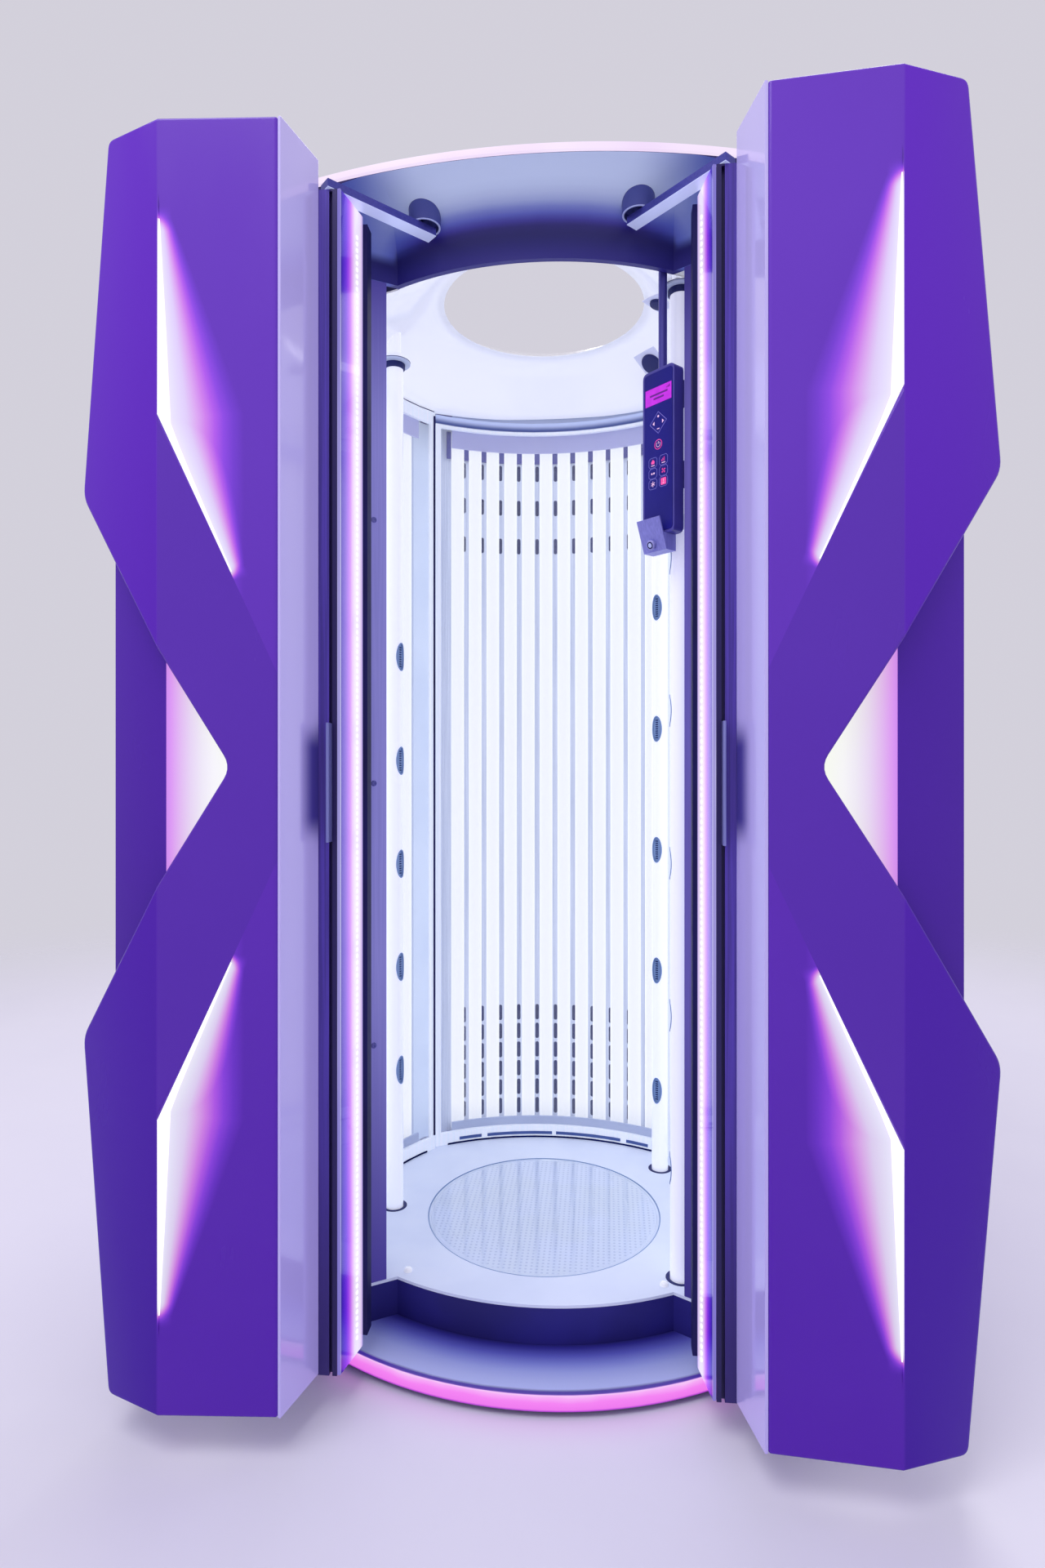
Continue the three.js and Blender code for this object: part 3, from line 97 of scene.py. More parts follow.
class Wire:
    """A value in a material; Python operators on it add Math nodes."""

    def __init__(self, graph: "Graph", socket: bpy.types.NodeSocket) -> None:
        """Keeps the socket and the graph that it belongs to."""
        self.graph = graph
        self.socket = socket

    def math(self, operation: str, *others: "Wire | float", flip: bool = False) -> "Wire":
        """Adds one Math node.

        Args:
            operation: Name of the Math node's operation.
            others: Further terms.
            flip: Puts this value last.

        Returns:
            The node's value.
        """
        terms = [self, *others]
        if flip:
            terms.reverse()
        return self.graph.wire("ShaderNodeMath", {"operation": operation}, dict(enumerate(terms)))

    def __add__(self, other: "Wire | float") -> "Wire":
        """Sum."""
        return self.math("ADD", other)

    def __sub__(self, other: "Wire | float") -> "Wire":
        """Difference."""
        return self.math("SUBTRACT", other)

    def __rsub__(self, other: float) -> "Wire":
        """Difference from a number."""
        return self.math("SUBTRACT", other, flip=True)

    def __mul__(self, other: "Wire | float") -> "Wire":
        """Product."""
        return self.math("MULTIPLY", other)

    def __truediv__(self, other: "Wire | float") -> "Wire":
        """Quotient."""
        return self.math("DIVIDE", other)

    def __gt__(self, other: "Wire | float") -> "Wire":
        """1 where this value is greater."""
        return self.math("GREATER_THAN", other)

    def __lt__(self, other: "Wire | float") -> "Wire":
        """1 where this value is less."""
        return self.math("LESS_THAN", other)

    __radd__ = __add__
    __rmul__ = __mul__

    def size(self) -> "Wire":
        """Value without its sign."""
        return self.math("ABSOLUTE")

    def larger(self, other: "Wire | float") -> "Wire":
        """Greater of two values."""
        return self.math("MAXIMUM", other)

    def smaller(self, other: "Wire | float") -> "Wire":
        """Lesser of two values."""
        return self.math("MINIMUM", other)

    def clamped(self) -> "Wire":
        """Value held between 0 and 1."""
        return self.larger(0.0).smaller(1.0)

    def fade(self, start: float, end: float) -> "Wire":
        """Smooth step from 0 at start to 1 at end."""
        settings = {"interpolation_type": "SMOOTHSTEP"}
        inputs = {"Value": self, "From Min": start, "From Max": end}
        return self.graph.wire("ShaderNodeMapRange", settings, inputs)

    def repeat(self, length: float) -> "Wire":
        """Value counted within steps of a length."""
        return self.math("MODULO", length)


class Graph:
    """Node tree of one material."""

    def __init__(self, name: str) -> None:
        """Starts an empty material."""
        self.material = bpy.data.materials.new(name)
        self.material.use_nodes = True
        self.tree = self.material.node_tree
        self.tree.nodes.clear()

    def node(self, kind: str, settings: dict | None = None, inputs: dict | None = None) -> bpy.types.Node:
        """Adds a node.

        Args:
            kind: Type of the node.
            settings: Its own settings, set first; "stops" are those of a colour ramp.
            inputs: Values or links of its sockets, by name or number.

        Returns:
            The node.
        """
        made = self.tree.nodes.new(kind)
        for key, value in (settings or {}).items():
            if key == "stops":
                self.set_stops(made.color_ramp.elements, value)
            else:
                setattr(made, key, value)
        for key, value in (inputs or {}).items():
            if isinstance(value, Wire):
                self.tree.links.new(value.socket, made.inputs[key])
            else:
                made.inputs[key].default_value = value
        return made

    def wire(self, kind: str, settings: dict | None = None, inputs: dict | None = None,
             output: str | int = 0) -> Wire:
        """Adds a node and returns one of its outputs."""
        return Wire(self, self.node(kind, settings, inputs).outputs[output])

    @staticmethod
    def set_stops(elements: bpy.types.ColorRampElements, stops: list[tuple[float, Colour]]) -> None:
        """Gives a colour ramp its stops."""
        while len(elements) < len(stops):
            elements.new(1.0)
        for element, (place, colour) in zip(elements, stops):
            element.position = place
            element.color = colour

    def place(self) -> tuple[Wire, Wire, Wire]:
        """Position on the piece in the row frame, in metres."""
        where = self.wire("ShaderNodeTexCoord", output="Object")
        split = self.node("ShaderNodeSeparateXYZ", None, {"Vector": where})
        return tuple(Wire(self, split.outputs[axis]) for axis in "XYZ")

    def facing(self) -> tuple[Wire, Wire, Wire]:
        """Direction that the surface faces."""
        normal = self.wire("ShaderNodeNewGeometry", output="Normal")
        split = self.node("ShaderNodeSeparateXYZ", None, {"Vector": normal})
        return tuple(Wire(self, split.outputs[axis]) for axis in "XYZ")

    def noise(self, scale: float, detail: float = 2.0, stretch: tuple = (1.0, 1.0, 1.0)) -> Wire:
        """Noise pattern over the piece, stretched along an axis where wanted."""
        where = self.wire("ShaderNodeTexCoord", output="Object")
        laid = self.wire("ShaderNodeMapping", None, {"Vector": where, "Scale": stretch})
        return self.wire("ShaderNodeTexNoise", None, {"Vector": laid, "Scale": scale, "Detail": detail})

    def ramp(self, value: Wire, stops: list[tuple[float, Colour]]) -> Wire:
        """Colour that follows a value."""
        return self.wire("ShaderNodeValToRGB", {"stops": stops}, {"Fac": value})

    def mix(self, factor: Wire, first: "Wire | Colour", second: "Wire | Colour") -> Wire:
        """Blend of two colours."""
        return self.wire("ShaderNodeMix", {"data_type": "RGBA"}, {0: factor, 6: first, 7: second}, 2)

    def bump(self, height: Wire, depth: float, strength: float = 1.0) -> Wire:
        """Normal of a surface with a fine relief."""
        return self.wire("ShaderNodeBump", None, {"Height": height, "Distance": depth, "Strength": strength})

    def close(self, sockets: dict) -> None:
        """Adds the surface shader and the output."""
        surface = self.wire("ShaderNodeBsdfPrincipled", None, sockets)
        self.node("ShaderNodeOutputMaterial", None, {"Surface": surface})


# Finishes


@dataclass(frozen=True)
class Finish:
    """A surface finish; each kind says how its shader sockets are fed."""

    name: str
    lit: float = field(default=0.0, kw_only=True)

    def material(self) -> bpy.types.Material:
        """Makes the material, or returns it if it is already made; lit is its share of lamp light as glow."""
        known = bpy.data.materials.get(self.name)
        if known:
            return known
        graph = Graph(self.name)
        sockets = self.sockets(graph)
        if self.lit:
            sockets.setdefault("Emission Color", sockets["Base Color"])
            sockets["Emission Strength"] = self.lit
        graph.close(sockets)
        return graph.material

    def sockets(self, graph: Graph) -> dict:
        """Values and links of the surface shader's sockets."""
        raise NotImplementedError


@dataclass(frozen=True)
class Gloss(Finish):
    """Lacquered moulded panel, a little lighter towards one end of its height; that change of tone is painted light."""

    # low and high are the tones at the bottom and the top; the step between them is painted light.
    low: Colour
    high: Colour
    bottom: float = 0.07
    top: float = 2.34
    roughness: float = 0.2
    coat: float = 0.3
    specular: float = 0.3

    def sockets(self, graph: Graph) -> dict:
        """Soft change of tone as painted light, faint cloudiness and the slight ripple of a moulded panel."""
        _, _, z = graph.place()
        cloud = graph.noise(3.0, 3.0)
        tone = (z.fade(self.bottom, self.top) + (cloud - 0.5) * 0.25).clamped()
        smears = graph.noise(9.0, 4.0, (1.0, 1.0, 0.35))
        ripple = graph.noise(140.0, 1.0)
        return {
            "Base Color": graph.mix(tone, self.low, self.high),
            "Roughness": smears.fade(0.35, 0.75) * 0.08 + self.roughness,
            "Specular IOR Level": self.specular,
            "Coat Weight": self.coat,
            "Coat Roughness": 0.06,
            "Normal": graph.bump(ripple, 0.00012, 0.5),
        }


@dataclass(frozen=True)
class ShellGloss(Gloss):
    """Shell lacquer with a darker kick band along its foot."""

    band: Colour = tint("4c4098")
    band_top: float = 0.082

    def sockets(self, graph: Graph) -> dict:
        """Gloss with the band and a fine masked edge above it."""
        sockets = super().sockets(graph)
        low = graph.place()[2].fade(self.band_top + 0.0006, self.band_top - 0.0006)
        sockets["Base Color"] = graph.mix(low, sockets["Base Color"], self.band)
        return sockets


@dataclass(frozen=True)
class CeilingGloss(Gloss):
    """Pearl lacquer of the ceiling, lit by the lamps below the mouth of the roof opening."""

    mouth: float = 2.329

    def sockets(self, graph: Graph) -> dict:
        """Gloss whose share of lamp light ends at the mouth."""
        sockets = super().sockets(graph)
        inside = graph.place()[2].fade(self.mouth + 0.004, self.mouth - 0.008)
        sockets["Emission Color"] = graph.mix(inside, (0.0, 0.0, 0.0, 1.0), sockets["Base Color"])
        return sockets


@dataclass(frozen=True)
class LightLine:
    """Light slot of a door pod in front view: down beside the fold, then slanting in to its tip."""

    fold: float = 0.628
    start: float = 0.957
    kink: float = 0.615
    tip: Point = (0.500, 0.340)
    dish_top: float = 1.0
    dish_depth: float = 0.020
    dish_share: float = 0.941
    slot_top: float = 0.004
    slot_kink: Point = (-0.0148, -0.0088)
    slot_tip: float = 0.003
    beside_ends: Point = (0.026, 0.152)
    slant_ends: Point = (0.028, 0.134)

    @property
    def slant(self) -> Vector:
        """Run of the slanting stretch, from the kink to the tip."""
        return Vector((self.tip[0] - self.fold, self.tip[1] - self.kink))

    def spill(self, across: Wire, up: Wire) -> tuple[Wire, Wire]:
        """Light that the slot throws on the dished facet.

        Args:
            across: Distance outwards from the fold.
            up: Distance from the kink, away from the middle of the door.

        Returns:
            Strength from 0 to 1, and 1 on the raised side of the slanting stretch.
        """
        unit = self.slant.normalized()
        height = (up / (self.start - self.kink)).larger(0.0)
        near, far = self.beside_ends
        beside = (1.0 + across / ((1.0 - height).larger(0.0) * (far - near) + near)) * height.fade(1.07, 0.93)
        along = ((across * unit.x + up * unit.y) / self.slant.length).larger(0.0)
        off = across * unit.y - up * unit.x
        near, far = self.slant_ends
        above = (1.0 - off / ((1.0 - along).larger(0.0) * (far - near) + near)) * along.fade(1.08, 0.97)
        inside = (off > 0.0) * (across < 0.0)
        return beside.larger(above).clamped() * inside, (off < 0.0) * (across < 0.0)


SPILL = [
    (0.0, (0.0, 0.0, 0.0, 1.0)),
    (0.13, (0.045, 0.010, 0.13, 1.0)),
    (0.25, (0.14, 0.028, 0.27, 1.0)),
    (0.36, (0.32, 0.070, 0.34, 1.0)),
    (0.47, (0.50, 0.18, 0.34, 1.0)),
    (0.58, (0.59, 0.36, 0.38, 1.0)),
    (0.70, (0.62, 0.58, 0.44, 1.0)),
    (0.85, (0.68, 0.72, 0.50, 1.0)),
    (1.0, (0.80, 0.84, 0.58, 1.0)),
]
NOTCH_LIGHT = [
    (0.0, (0.60, 0.46, 0.52, 1.0)),
    (0.10, (0.90, 0.95, 0.66, 1.0)),
    (0.34, (0.87, 0.90, 0.65, 1.0)),
    (0.50, (0.80, 0.80, 0.60, 1.0)),
    (0.66, (0.74, 0.65, 0.57, 1.0)),
    (0.80, (0.70, 0.48, 0.55, 1.0)),
    (0.92, (0.66, 0.32, 0.56, 1.0)),
    (1.0, (0.58, 0.24, 0.56, 1.0)),
]


@dataclass(frozen=True)
class PodGloss(Gloss):
    """Door gloss with the light that the slots spill, a deeper tone outside the fold as painted shade on the outer
    facet, and a deeper tone on the crossing band.
    """

    # Outer facet tones: painted shade, lighter towards the top as painted light.
    outer_low: Colour = tint("3d06a0")
    outer_high: Colour = tint("651ec7")
    band: Colour = tint("522aa8")
    line: LightLine = LightLine()
    middle: float = 1.206

    def sockets(self, graph: Graph) -> dict:
        """Gloss with the spill as emission."""
        sockets = super().sockets(graph)
        x, _, z = graph.place()
        across = x.size() - self.line.fold
        strength, band = self.line.spill(across, (z - self.middle).size() - self.line.kink)
        # Painted shade on the outer facet, beyond the fold.
        outer = graph.mix(z.fade(self.bottom, self.top), self.outer_low, self.outer_high)
        tone = graph.mix(across.fade(-0.002, 0.004) * 0.8, sockets["Base Color"], outer)
        sockets["Base Color"] = graph.mix(band * 0.45, tone, self.band)
        sockets["Emission Color"] = graph.ramp(strength, SPILL)
        sockets["Emission Strength"] = 1.0
        return sockets


@dataclass(frozen=True)
class NotchGloss(Gloss):
    """Gloss of the recessed door body, brightly lit on its inner facet where the notch bares it."""

    tip: float = 0.500
    fold: float = 0.628
    front: Point = (-0.6195, -0.6235)

    def sockets(self, graph: Graph) -> dict:
        """Gloss with white light at the notch's tip that turns pink towards the fold."""
        x, y, _ = graph.place()
        share = (x.size() - self.tip) / (self.fold - self.tip)
        light = graph.ramp(share.clamped(), NOTCH_LIGHT)
        sockets = super().sockets(graph)
        dark = (0.0, 0.0, 0.0, 1.0)
        sockets["Emission Color"] = graph.mix((share < 1.0) * y.fade(*self.front), dark, light)
        sockets["Emission Strength"] = 1.0
        return sockets


@dataclass(frozen=True)
class Satin(Finish):
    """Fine textured paint or moulded plastic."""

    colour: Colour
    shade: Colour
    roughness: float = 0.45
    grain: float = 900.0
    specular: float = 0.5

    def sockets(self, graph: Graph) -> dict:
        """Cloudy tone with a fine grain."""
        cloud = graph.noise(5.0, 3.0)
        fine = graph.noise(self.grain, 2.0)
        return {
            "Base Color": graph.mix(cloud.fade(0.3, 0.7), self.shade, self.colour),
            "Roughness": fine * 0.12 + (self.roughness - 0.06),
            "Specular IOR Level": self.specular,
            "Normal": graph.bump(fine, 0.00015, 0.6),
        }


@dataclass(frozen=True)
class ArcSatin(Satin):
    """Satin whose tone follows the distance in front of the curved front of the cabin; its row of tones paints light
    and shade.
    """

    tones: tuple[tuple[float, Colour], ...] = ()
    reach: float = 0.135
    centre_y: float = 0.2535
    radius: float = 0.632

    def front(self, graph: Graph) -> Wire:
        """Distance in front of the curved line, a little uneven."""
        x, y, _ = graph.place()
        back = y - self.centre_y
        cloud = (graph.noise(5.0, 3.0) - 0.5) * 0.006
        return (x * x + back * back).math("SQRT") - self.radius + cloud

    def sockets(self, graph: Graph) -> dict:
        """Satin with the row of tones from the front line outwards."""
        sockets = super().sockets(graph)
        stops = [(place / self.reach, colour) for place, colour in self.tones]
        sockets["Base Color"] = graph.ramp((self.front(graph) / self.reach).clamped(), stops)
        return sockets


@dataclass(frozen=True)
class CanopySatin(ArcSatin):
    """Canopy paint: pale and softly lit under the front edge as painted light, dark in the cove as painted shade, and
    dark down the fascia.
    """

    fascia: Colour = tint("2c2484")
    # cove is painted shade at the top of the cove; dull is painted shade near the doors.
    cove: Colour = tint("1d1868")
    dull: Colour = tint("46549e")
    foot: float = 2.229
    under: float = 2.352

    def sockets(self, graph: Graph) -> dict:
        """Tones of the underside, duller towards the doors as painted shade of the arms and doors, with a plain dark
        fascia below the cove.
        """
        sockets = super().sockets(graph)
        x, _, z = graph.place()
        # Painted shade of the arms and doors towards each end of the underside.
        sockets["Base Color"] = graph.mix(x.size().fade(0.37, 0.20), self.dull, sockets["Base Color"])
        # Painted light: the underside glows with its own tones.
        bow = self.front(graph).fade(0.0, 0.012) * (z < self.under) * graph.facing()[2].fade(-0.05, -0.35)
        wall = graph.mix(z.fade(self.foot, self.foot + 0.055), self.fascia, self.cove)
        sockets["Emission Color"] = graph.mix(bow, (0.0, 0.0, 0.0, 1.0), sockets["Base Color"])
        sockets["Base Color"] = graph.mix(bow, wall, sockets["Base Color"])
        return sockets


@dataclass(frozen=True)
class PanelGloss(Gloss):
    """Lilac gloss of the return panel, in deep shade beside the handle."""

    shade: Colour = tint("2a1a8c")
    handle: Point = (1.067, 1.288)
    shade_from: float = -0.612
    shade_to: float = -0.560

    def sockets(self, graph: Graph) -> dict:
        """Gloss with a soft shade between the two ends of the handle."""
        sockets = super().sockets(graph)
        _, y, z = graph.place()
        low, high = self.handle
        ends = z.fade(low - 0.006, low + 0.05) * z.fade(high + 0.006, high - 0.05)
        depth = y.fade(self.shade_from, self.shade_to)
        sockets["Base Color"] = graph.mix(ends * depth * 0.9, sockets["Base Color"], self.shade)
        return sockets


@dataclass(frozen=True)
class Metal(Finish):
    """Drawn or brushed metal with fine lines along its length."""

    colour: Colour
    shade: Colour
    roughness: float = 0.34
    metallic: float = 0.75
    grain: Grain = Grain.UPRIGHT

    def sockets(self, graph: Graph) -> dict:
        """Fine lines in tone, roughness and relief."""
        lines = graph.noise(1.0, 3.0, self.grain.value)
        return {
            "Base Color": graph.mix(lines.fade(0.3, 0.7), self.shade, self.colour),
            "Roughness": lines * 0.16 + (self.roughness - 0.08),
            "Metallic": self.metallic,
            "Normal": graph.bump(lines, 0.00008, 0.4),
        }


@dataclass(frozen=True)
class ArmMetal(Metal):
    """Metal of a door arm: dark flanks and a pale underside, painted light from below."""

    # under is the painted light on the underside.
    under: Colour = tint("c2cbee")
    bottom: float = 0.0

    def sockets(self, graph: Graph) -> dict:
        """Brushed metal with a pale, softly lit underside, painted as tone and glow."""
        sockets = super().sockets(graph)
        below = graph.place()[2].fade(self.bottom + 0.0016, self.bottom + 0.0006)
        # Painted light: pale tone and glow on the underside.
        sockets["Base Color"] = graph.mix(below, sockets["Base Color"], self.under)
        sockets["Emission Color"] = graph.mix(below, (0.0, 0.0, 0.0, 1.0), self.under)
        return sockets


@dataclass(frozen=True)
class EndMetal(Metal):
    """Drawn metal that is darker towards its lower and its upper end, as painted shade."""

    # dark is the painted shade towards the ends.
    dark: Colour = tint("32236e")
    low: Point = (-2.0, -1.0)
    high: Point = (4.0, 3.0)

    def sockets(self, graph: Graph) -> dict:
        """Metal with painted shade at the ends."""
        sockets = super().sockets(graph)
        z = graph.place()[2]
        sockets["Base Color"] = graph.mix(z.fade(*self.low) * z.fade(*self.high), self.dark, sockets["Base Color"])
        return sockets


@dataclass(frozen=True)
class RimMetal(EndMetal):
    """Metal of the back frame, shaded along its upper edge and pale again right under the ceiling."""

    pale: Colour = tint("b8c4e8")
    rise: Point = (2.189, 2.208)

    def sockets(self, graph: Graph) -> dict:
        """Metal with the pale rim."""
        sockets = super().sockets(graph)
        sockets["Base Color"] = graph.mix(graph.place()[2].fade(*self.rise), sockets["Base Color"], self.pale)
        return sockets


@dataclass(frozen=True)
class ColumnMetal(EndMetal):
    """Metal of the grip column, in deep shade on the slim bar beside the fin."""

    shade_bar: Colour = tint("241858")
    bar_edge: float = 0.3625

    def sockets(self, graph: Graph) -> dict:
        """Metal with the slim bar held back."""
        sockets = super().sockets(graph)
        slim = graph.place()[0].size().fade(self.bar_edge + 0.001, self.bar_edge - 0.001)
        sockets["Base Color"] = graph.mix(slim, sockets["Base Color"], self.shade_bar)
        return sockets


@dataclass(frozen=True)
class Glow(Finish):
    """Lit diffuser with slightly uneven brightness along its length."""

    colour: Colour
    bright: Colour
    strength: float = 1.2
    beads: float = 30.0

    def sockets(self, graph: Graph) -> dict:
        """Emission that wavers between two colours."""
        patch = graph.noise(self.beads, 1.0)
        light = graph.mix(patch.fade(0.25, 0.75), self.colour, self.bright)
        return {
            "Base Color": tint("2a2440"),
            "Roughness": 0.4,
            "Emission Color": light,
            "Emission Strength": self.strength,
        }


@dataclass(frozen=True)
class StripGlow(Glow):
    """Lit plinth edge: paler towards its top, with a dark line along both edges."""

    bottom: float = 0.0
    top: float = 1.0

    def sockets(self, graph: Graph) -> dict:
        """Glow whose tone follows the height of the strip, a little uneven along it."""
        sockets = super().sockets(graph)
        share = (graph.place()[2] - self.bottom) / (self.top - self.bottom)
        cloud = (graph.noise(self.beads, 2.0) - 0.5) * share.fade(0.2, 0.6) * share.fade(0.98, 0.8) * 0.9
        sockets["Emission Color"] = graph.ramp((share + cloud).clamped(), [
            (0.0, tint("5a1a86")),
            (0.06, tint("b83cd0")),
            (0.14, tint("ea70e6")),
            (0.50, self.colour),
            (0.80, self.bright),
            (0.94, tint("f3c4f2")),
            (0.97, tint("8a50c0")),
            (1.0, tint("3a2490")),
        ])
        return sockets


@dataclass(frozen=True)
class TubeGlow(Finish):
    """Lit fluorescent tube: even white, a little dull and warm close to its two ends."""

    colour: Colour
    dull: Colour
    low: float
    high: float
    fall: float = 0.10
    strength: float = 1.0

    def sockets(self, graph: Graph) -> dict:
        """Emission that drops near the ends."""
        _, _, z = graph.place()
        ends = (z - self.low).smaller(self.high - z)
        powder = graph.noise(60.0, 3.0)
        light = graph.mix((ends.fade(0.0, self.fall) + (powder - 0.5) * 0.08).clamped(), self.dull, self.colour)
        return {
            "Base Color": tint("4a4c58"),
            "Roughness": powder * 0.1 + 0.2,
            "Emission Color": light,
            "Emission Strength": self.strength,
        }


@dataclass(frozen=True)
class Clear(Finish):
    """Clear acrylic sheet with faint polishing haze."""

    colour: Colour
    alpha: float = 0.1

    def sockets(self, graph: Graph) -> dict:
        """Mostly see-through with a glossy skin."""
        haze = graph.noise(12.0, 4.0, (1.0, 1.0, 0.3))
        return {
            "Base Color": graph.mix(haze, self.colour, (1.0, 1.0, 1.0, 1.0)),
            "Roughness": haze * 0.08 + 0.04,
            "Alpha": haze * 0.05 + self.alpha,
        }


@dataclass(frozen=True)
class FinGlow(Finish):
    """Edge-lit door fin: smoky near the grip column, pink and then white round its row of lamps."""

    near: float = -0.5435
    far: float = -0.4577
    bottom: float = 0.10
    top: float = 2.283
    clear: tuple[str, ...] = ("9a92d0", "d8d4f2", "5a44b4", "775cca", "9a74de", "bd80ee", "dc9cf2", "eccaf6")
    deep: tuple[str, ...] = ("7c72c4", "a8a0e0", "341a98", "4a1cc2", "6c24dc", "9c3cea", "cc74f2", "e8b4f8")

    def sockets(self, graph: Graph) -> dict:
        """Tone along the depth of the fin, deeper towards its two ends."""
        _, y, z = graph.place()
        wave = (graph.noise(4.0, 2.0, (1.0, 1.0, 0.5)) - 0.5) * 0.05
        share = ((y - self.near) / (self.far - self.near) + wave).clamped()
        middle = z.fade(self.bottom, self.bottom + 0.95) * z.fade(self.top, self.top - 0.75)
        light = graph.mix(middle, graph.ramp(share, self.lights(self.deep)), graph.ramp(share, self.lights(self.clear)))
        return {
            "Base Color": graph.mix(share, tint("1c1648"), tint("3a2c6c")),
            "Roughness": wave + 0.16,
            "Coat Weight": 0.4,
            "Emission Color": light,
            "Emission Strength": 0.94,
        }

    @staticmethod
    def lights(codes: tuple[str, ...]) -> list[tuple[float, Colour]]:
        """Stops from the grip column to the far edge; the codes are those on the column's side."""
        places = (0.0, 0.018, 0.036, 0.14, 0.25, 0.35, 0.45, 0.54)
        bright = [(0.63, tint("f4e6fa")), (0.75, tint("f7eefc")), (0.87, tint("f2e2f8"))]
        edge = [(0.93, tint("e2c8ee")), (1.0, tint("958bd0"))]
        return [(place, tint(code)) for place, code in zip(places, codes)] + bright + edge


@dataclass(frozen=True)
class DiscGlass(Finish):
    """Clear floor disc: rings turned in its face and a fine lattice of dots below it."""

    colour: Colour
    dot: Colour
    pitch: float = 0.012

    def sockets(self, graph: Graph) -> dict:
        """Rings as relief, dots in tone and a soft glow from the lit well."""
        x, y, _ = graph.place()
        radius = (x * x + y * y).math("SQRT")
        rings = (radius.repeat(0.028) - 0.014).size().fade(0.0, 0.004)
        gx = (x + 4.0).repeat(self.pitch) - self.pitch / 2
        gy = (y + 4.0).repeat(self.pitch) - self.pitch / 2
        dots = 1.0 - (gx * gx + gy * gy).math("SQRT").fade(0.0022, 0.0034)
        haze = graph.noise(7.0, 4.0)
        glass = graph.mix(haze.fade(0.35, 0.7), self.colour, tint("c4d0ec"))
        tone = graph.mix(dots * 0.55 * radius.fade(0.272, 0.262), glass, self.dot)
        return {
            "Base Color": tone,
            "Roughness": haze * 0.12 + 0.08,
            "Coat Weight": 0.7,
            "Emission Color": tone,
            "Emission Strength": 0.12,
            "Normal": graph.bump(rings, 0.0006, 0.35),
        }


VIOLET = PodGloss("door lacquer", tint("5619b2"), tint("6e3cc5"), coat=0.18, specular=0.2)
NOTCH = NotchGloss("notch lacquer", tint("431498"), tint("5822b4"), coat=0.18, specular=0.2)
LILAC = PanelGloss("lilac lacquer", tint("b9adec"), tint("c4b9f1"), roughness=0.1, coat=0.7, lit=0.12)
SHELL = ShellGloss("shell lacquer", tint("8d78d2"), tint("a894e2"), roughness=0.2)
PEARL = CeilingGloss("pearl lacquer", tint("e4e6ee"), tint("ecedf3"), roughness=0.12, coat=0.8, lit=0.3)
TUBING = Gloss("column lacquer", tint("e6e9f6"), tint("eceefa"), roughness=0.12, coat=0.8, lit=0.42)
ROOF = Satin("roof paint", tint("aaa2d4"), tint("a59dd0"))
SLATE = Satin("slate paint", tint("2b2680"), tint("231f68"), roughness=0.42, specular=0.3)
# Tread tones: painted shadow dark at the riser, growing into painted light towards the front edge.
TREAD = ArcSatin("tread paint", tint("a4acdc"), tint("2c2680"), specular=0.3, lit=0.15, tones=(
    (0.0, tint("1e1c62")),
    (0.011, tint("2c2884")),
    (0.035, tint("5456b0")),
    (0.058, tint("767ec6")),
    (0.081, tint("939bd3")),
    (0.104, tint("a1a9d9")),
    (0.125, tint("a9b1df")),
    (0.133, tint("36287c")),
))
# Canopy tones: painted shade in the cove, growing into painted light under the front edge.
CANOPY = CanopySatin("canopy paint", tint("a6b1cc"), tint("9ca8c8"), lit=0.5, tones=(
    (0.0055, tint("1d1661")),
    (0.0108, tint("2c277a")),
    (0.018, tint("464d98")),
    (0.027, tint("6670a8")),
    (0.037, tint("8893b8")),
    (0.050, tint("9ba6c3")),
    (0.063, tint("a4b0ca")),
    (0.080, tint("a9b5ce")),
))
DECK = Satin("deck paint", tint("d6def2"), tint("ccd5ec"), roughness=0.34, lit=0.14)
# The grip column darkens towards its foot as painted shade.
GRAPHITE = ColumnMetal("graphite metal", tint("5a44b4"), tint("463492"), metallic=0.3, roughness=0.45, low=(0.04, 0.75))
ARM_METAL = ArmMetal("arm metal", tint("4a4aa4"), tint("40409a"), metallic=0.3, grain=Grain.ACROSS, lit=0.4,
                     bottom=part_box("left_swing_arm")[0].z)
BOSS = Satin("boss paint", tint("4e569e"), tint("464c94"), roughness=0.4)
ROD_METAL = Metal("rod metal", tint("5450a8"), tint("44408c"), metallic=0.4)
RIM_METAL = Metal("rim metal", tint("b4bee8"), tint("a2acdc"), metallic=0.4, lit=0.3)
# Jambs darken towards both ends as painted shade; the right jamb takes a darker copy as painted shade.
JAMB = EndMetal("jamb metal", tint("9e9ce2"), tint("9492da"), metallic=0.1, roughness=0.5, lit=0.12,
                dark=tint("5548a6"), low=(0.10, 0.85), high=(2.30, 1.85))
JAMB_SHADE = EndMetal("shaded jamb metal", tint("7066be"), tint("685cb4"), metallic=0.1, roughness=0.5, lit=0.04,
                      dark=tint("4a3e98"), low=(0.10, 0.85), high=(2.30, 1.85))
FRAME = Metal("frame metal", tint("e4e9f2"), tint("dae0ec"), metallic=0.1, roughness=0.35, lit=0.3)
BACK_FRAME = RimMetal("back frame metal", tint("e4e9f2"), tint("dae0ec"), metallic=0.1, roughness=0.35, lit=0.3,
                      dark=tint("3a4a86"), high=(2.1885, 2.1845))
CORNER = Satin("corner sheet", tint("ccd7ea"), tint("c4d0e6"), roughness=0.4, lit=0.3)
COVER = Satin("lamp cover", tint("b4b6e2"), tint("acaedc"), roughness=0.4, lit=0.12)
SHADE = Satin("slit shade", tint("5468a4"), tint("4a5e9a"), roughness=0.7, specular=0.1)
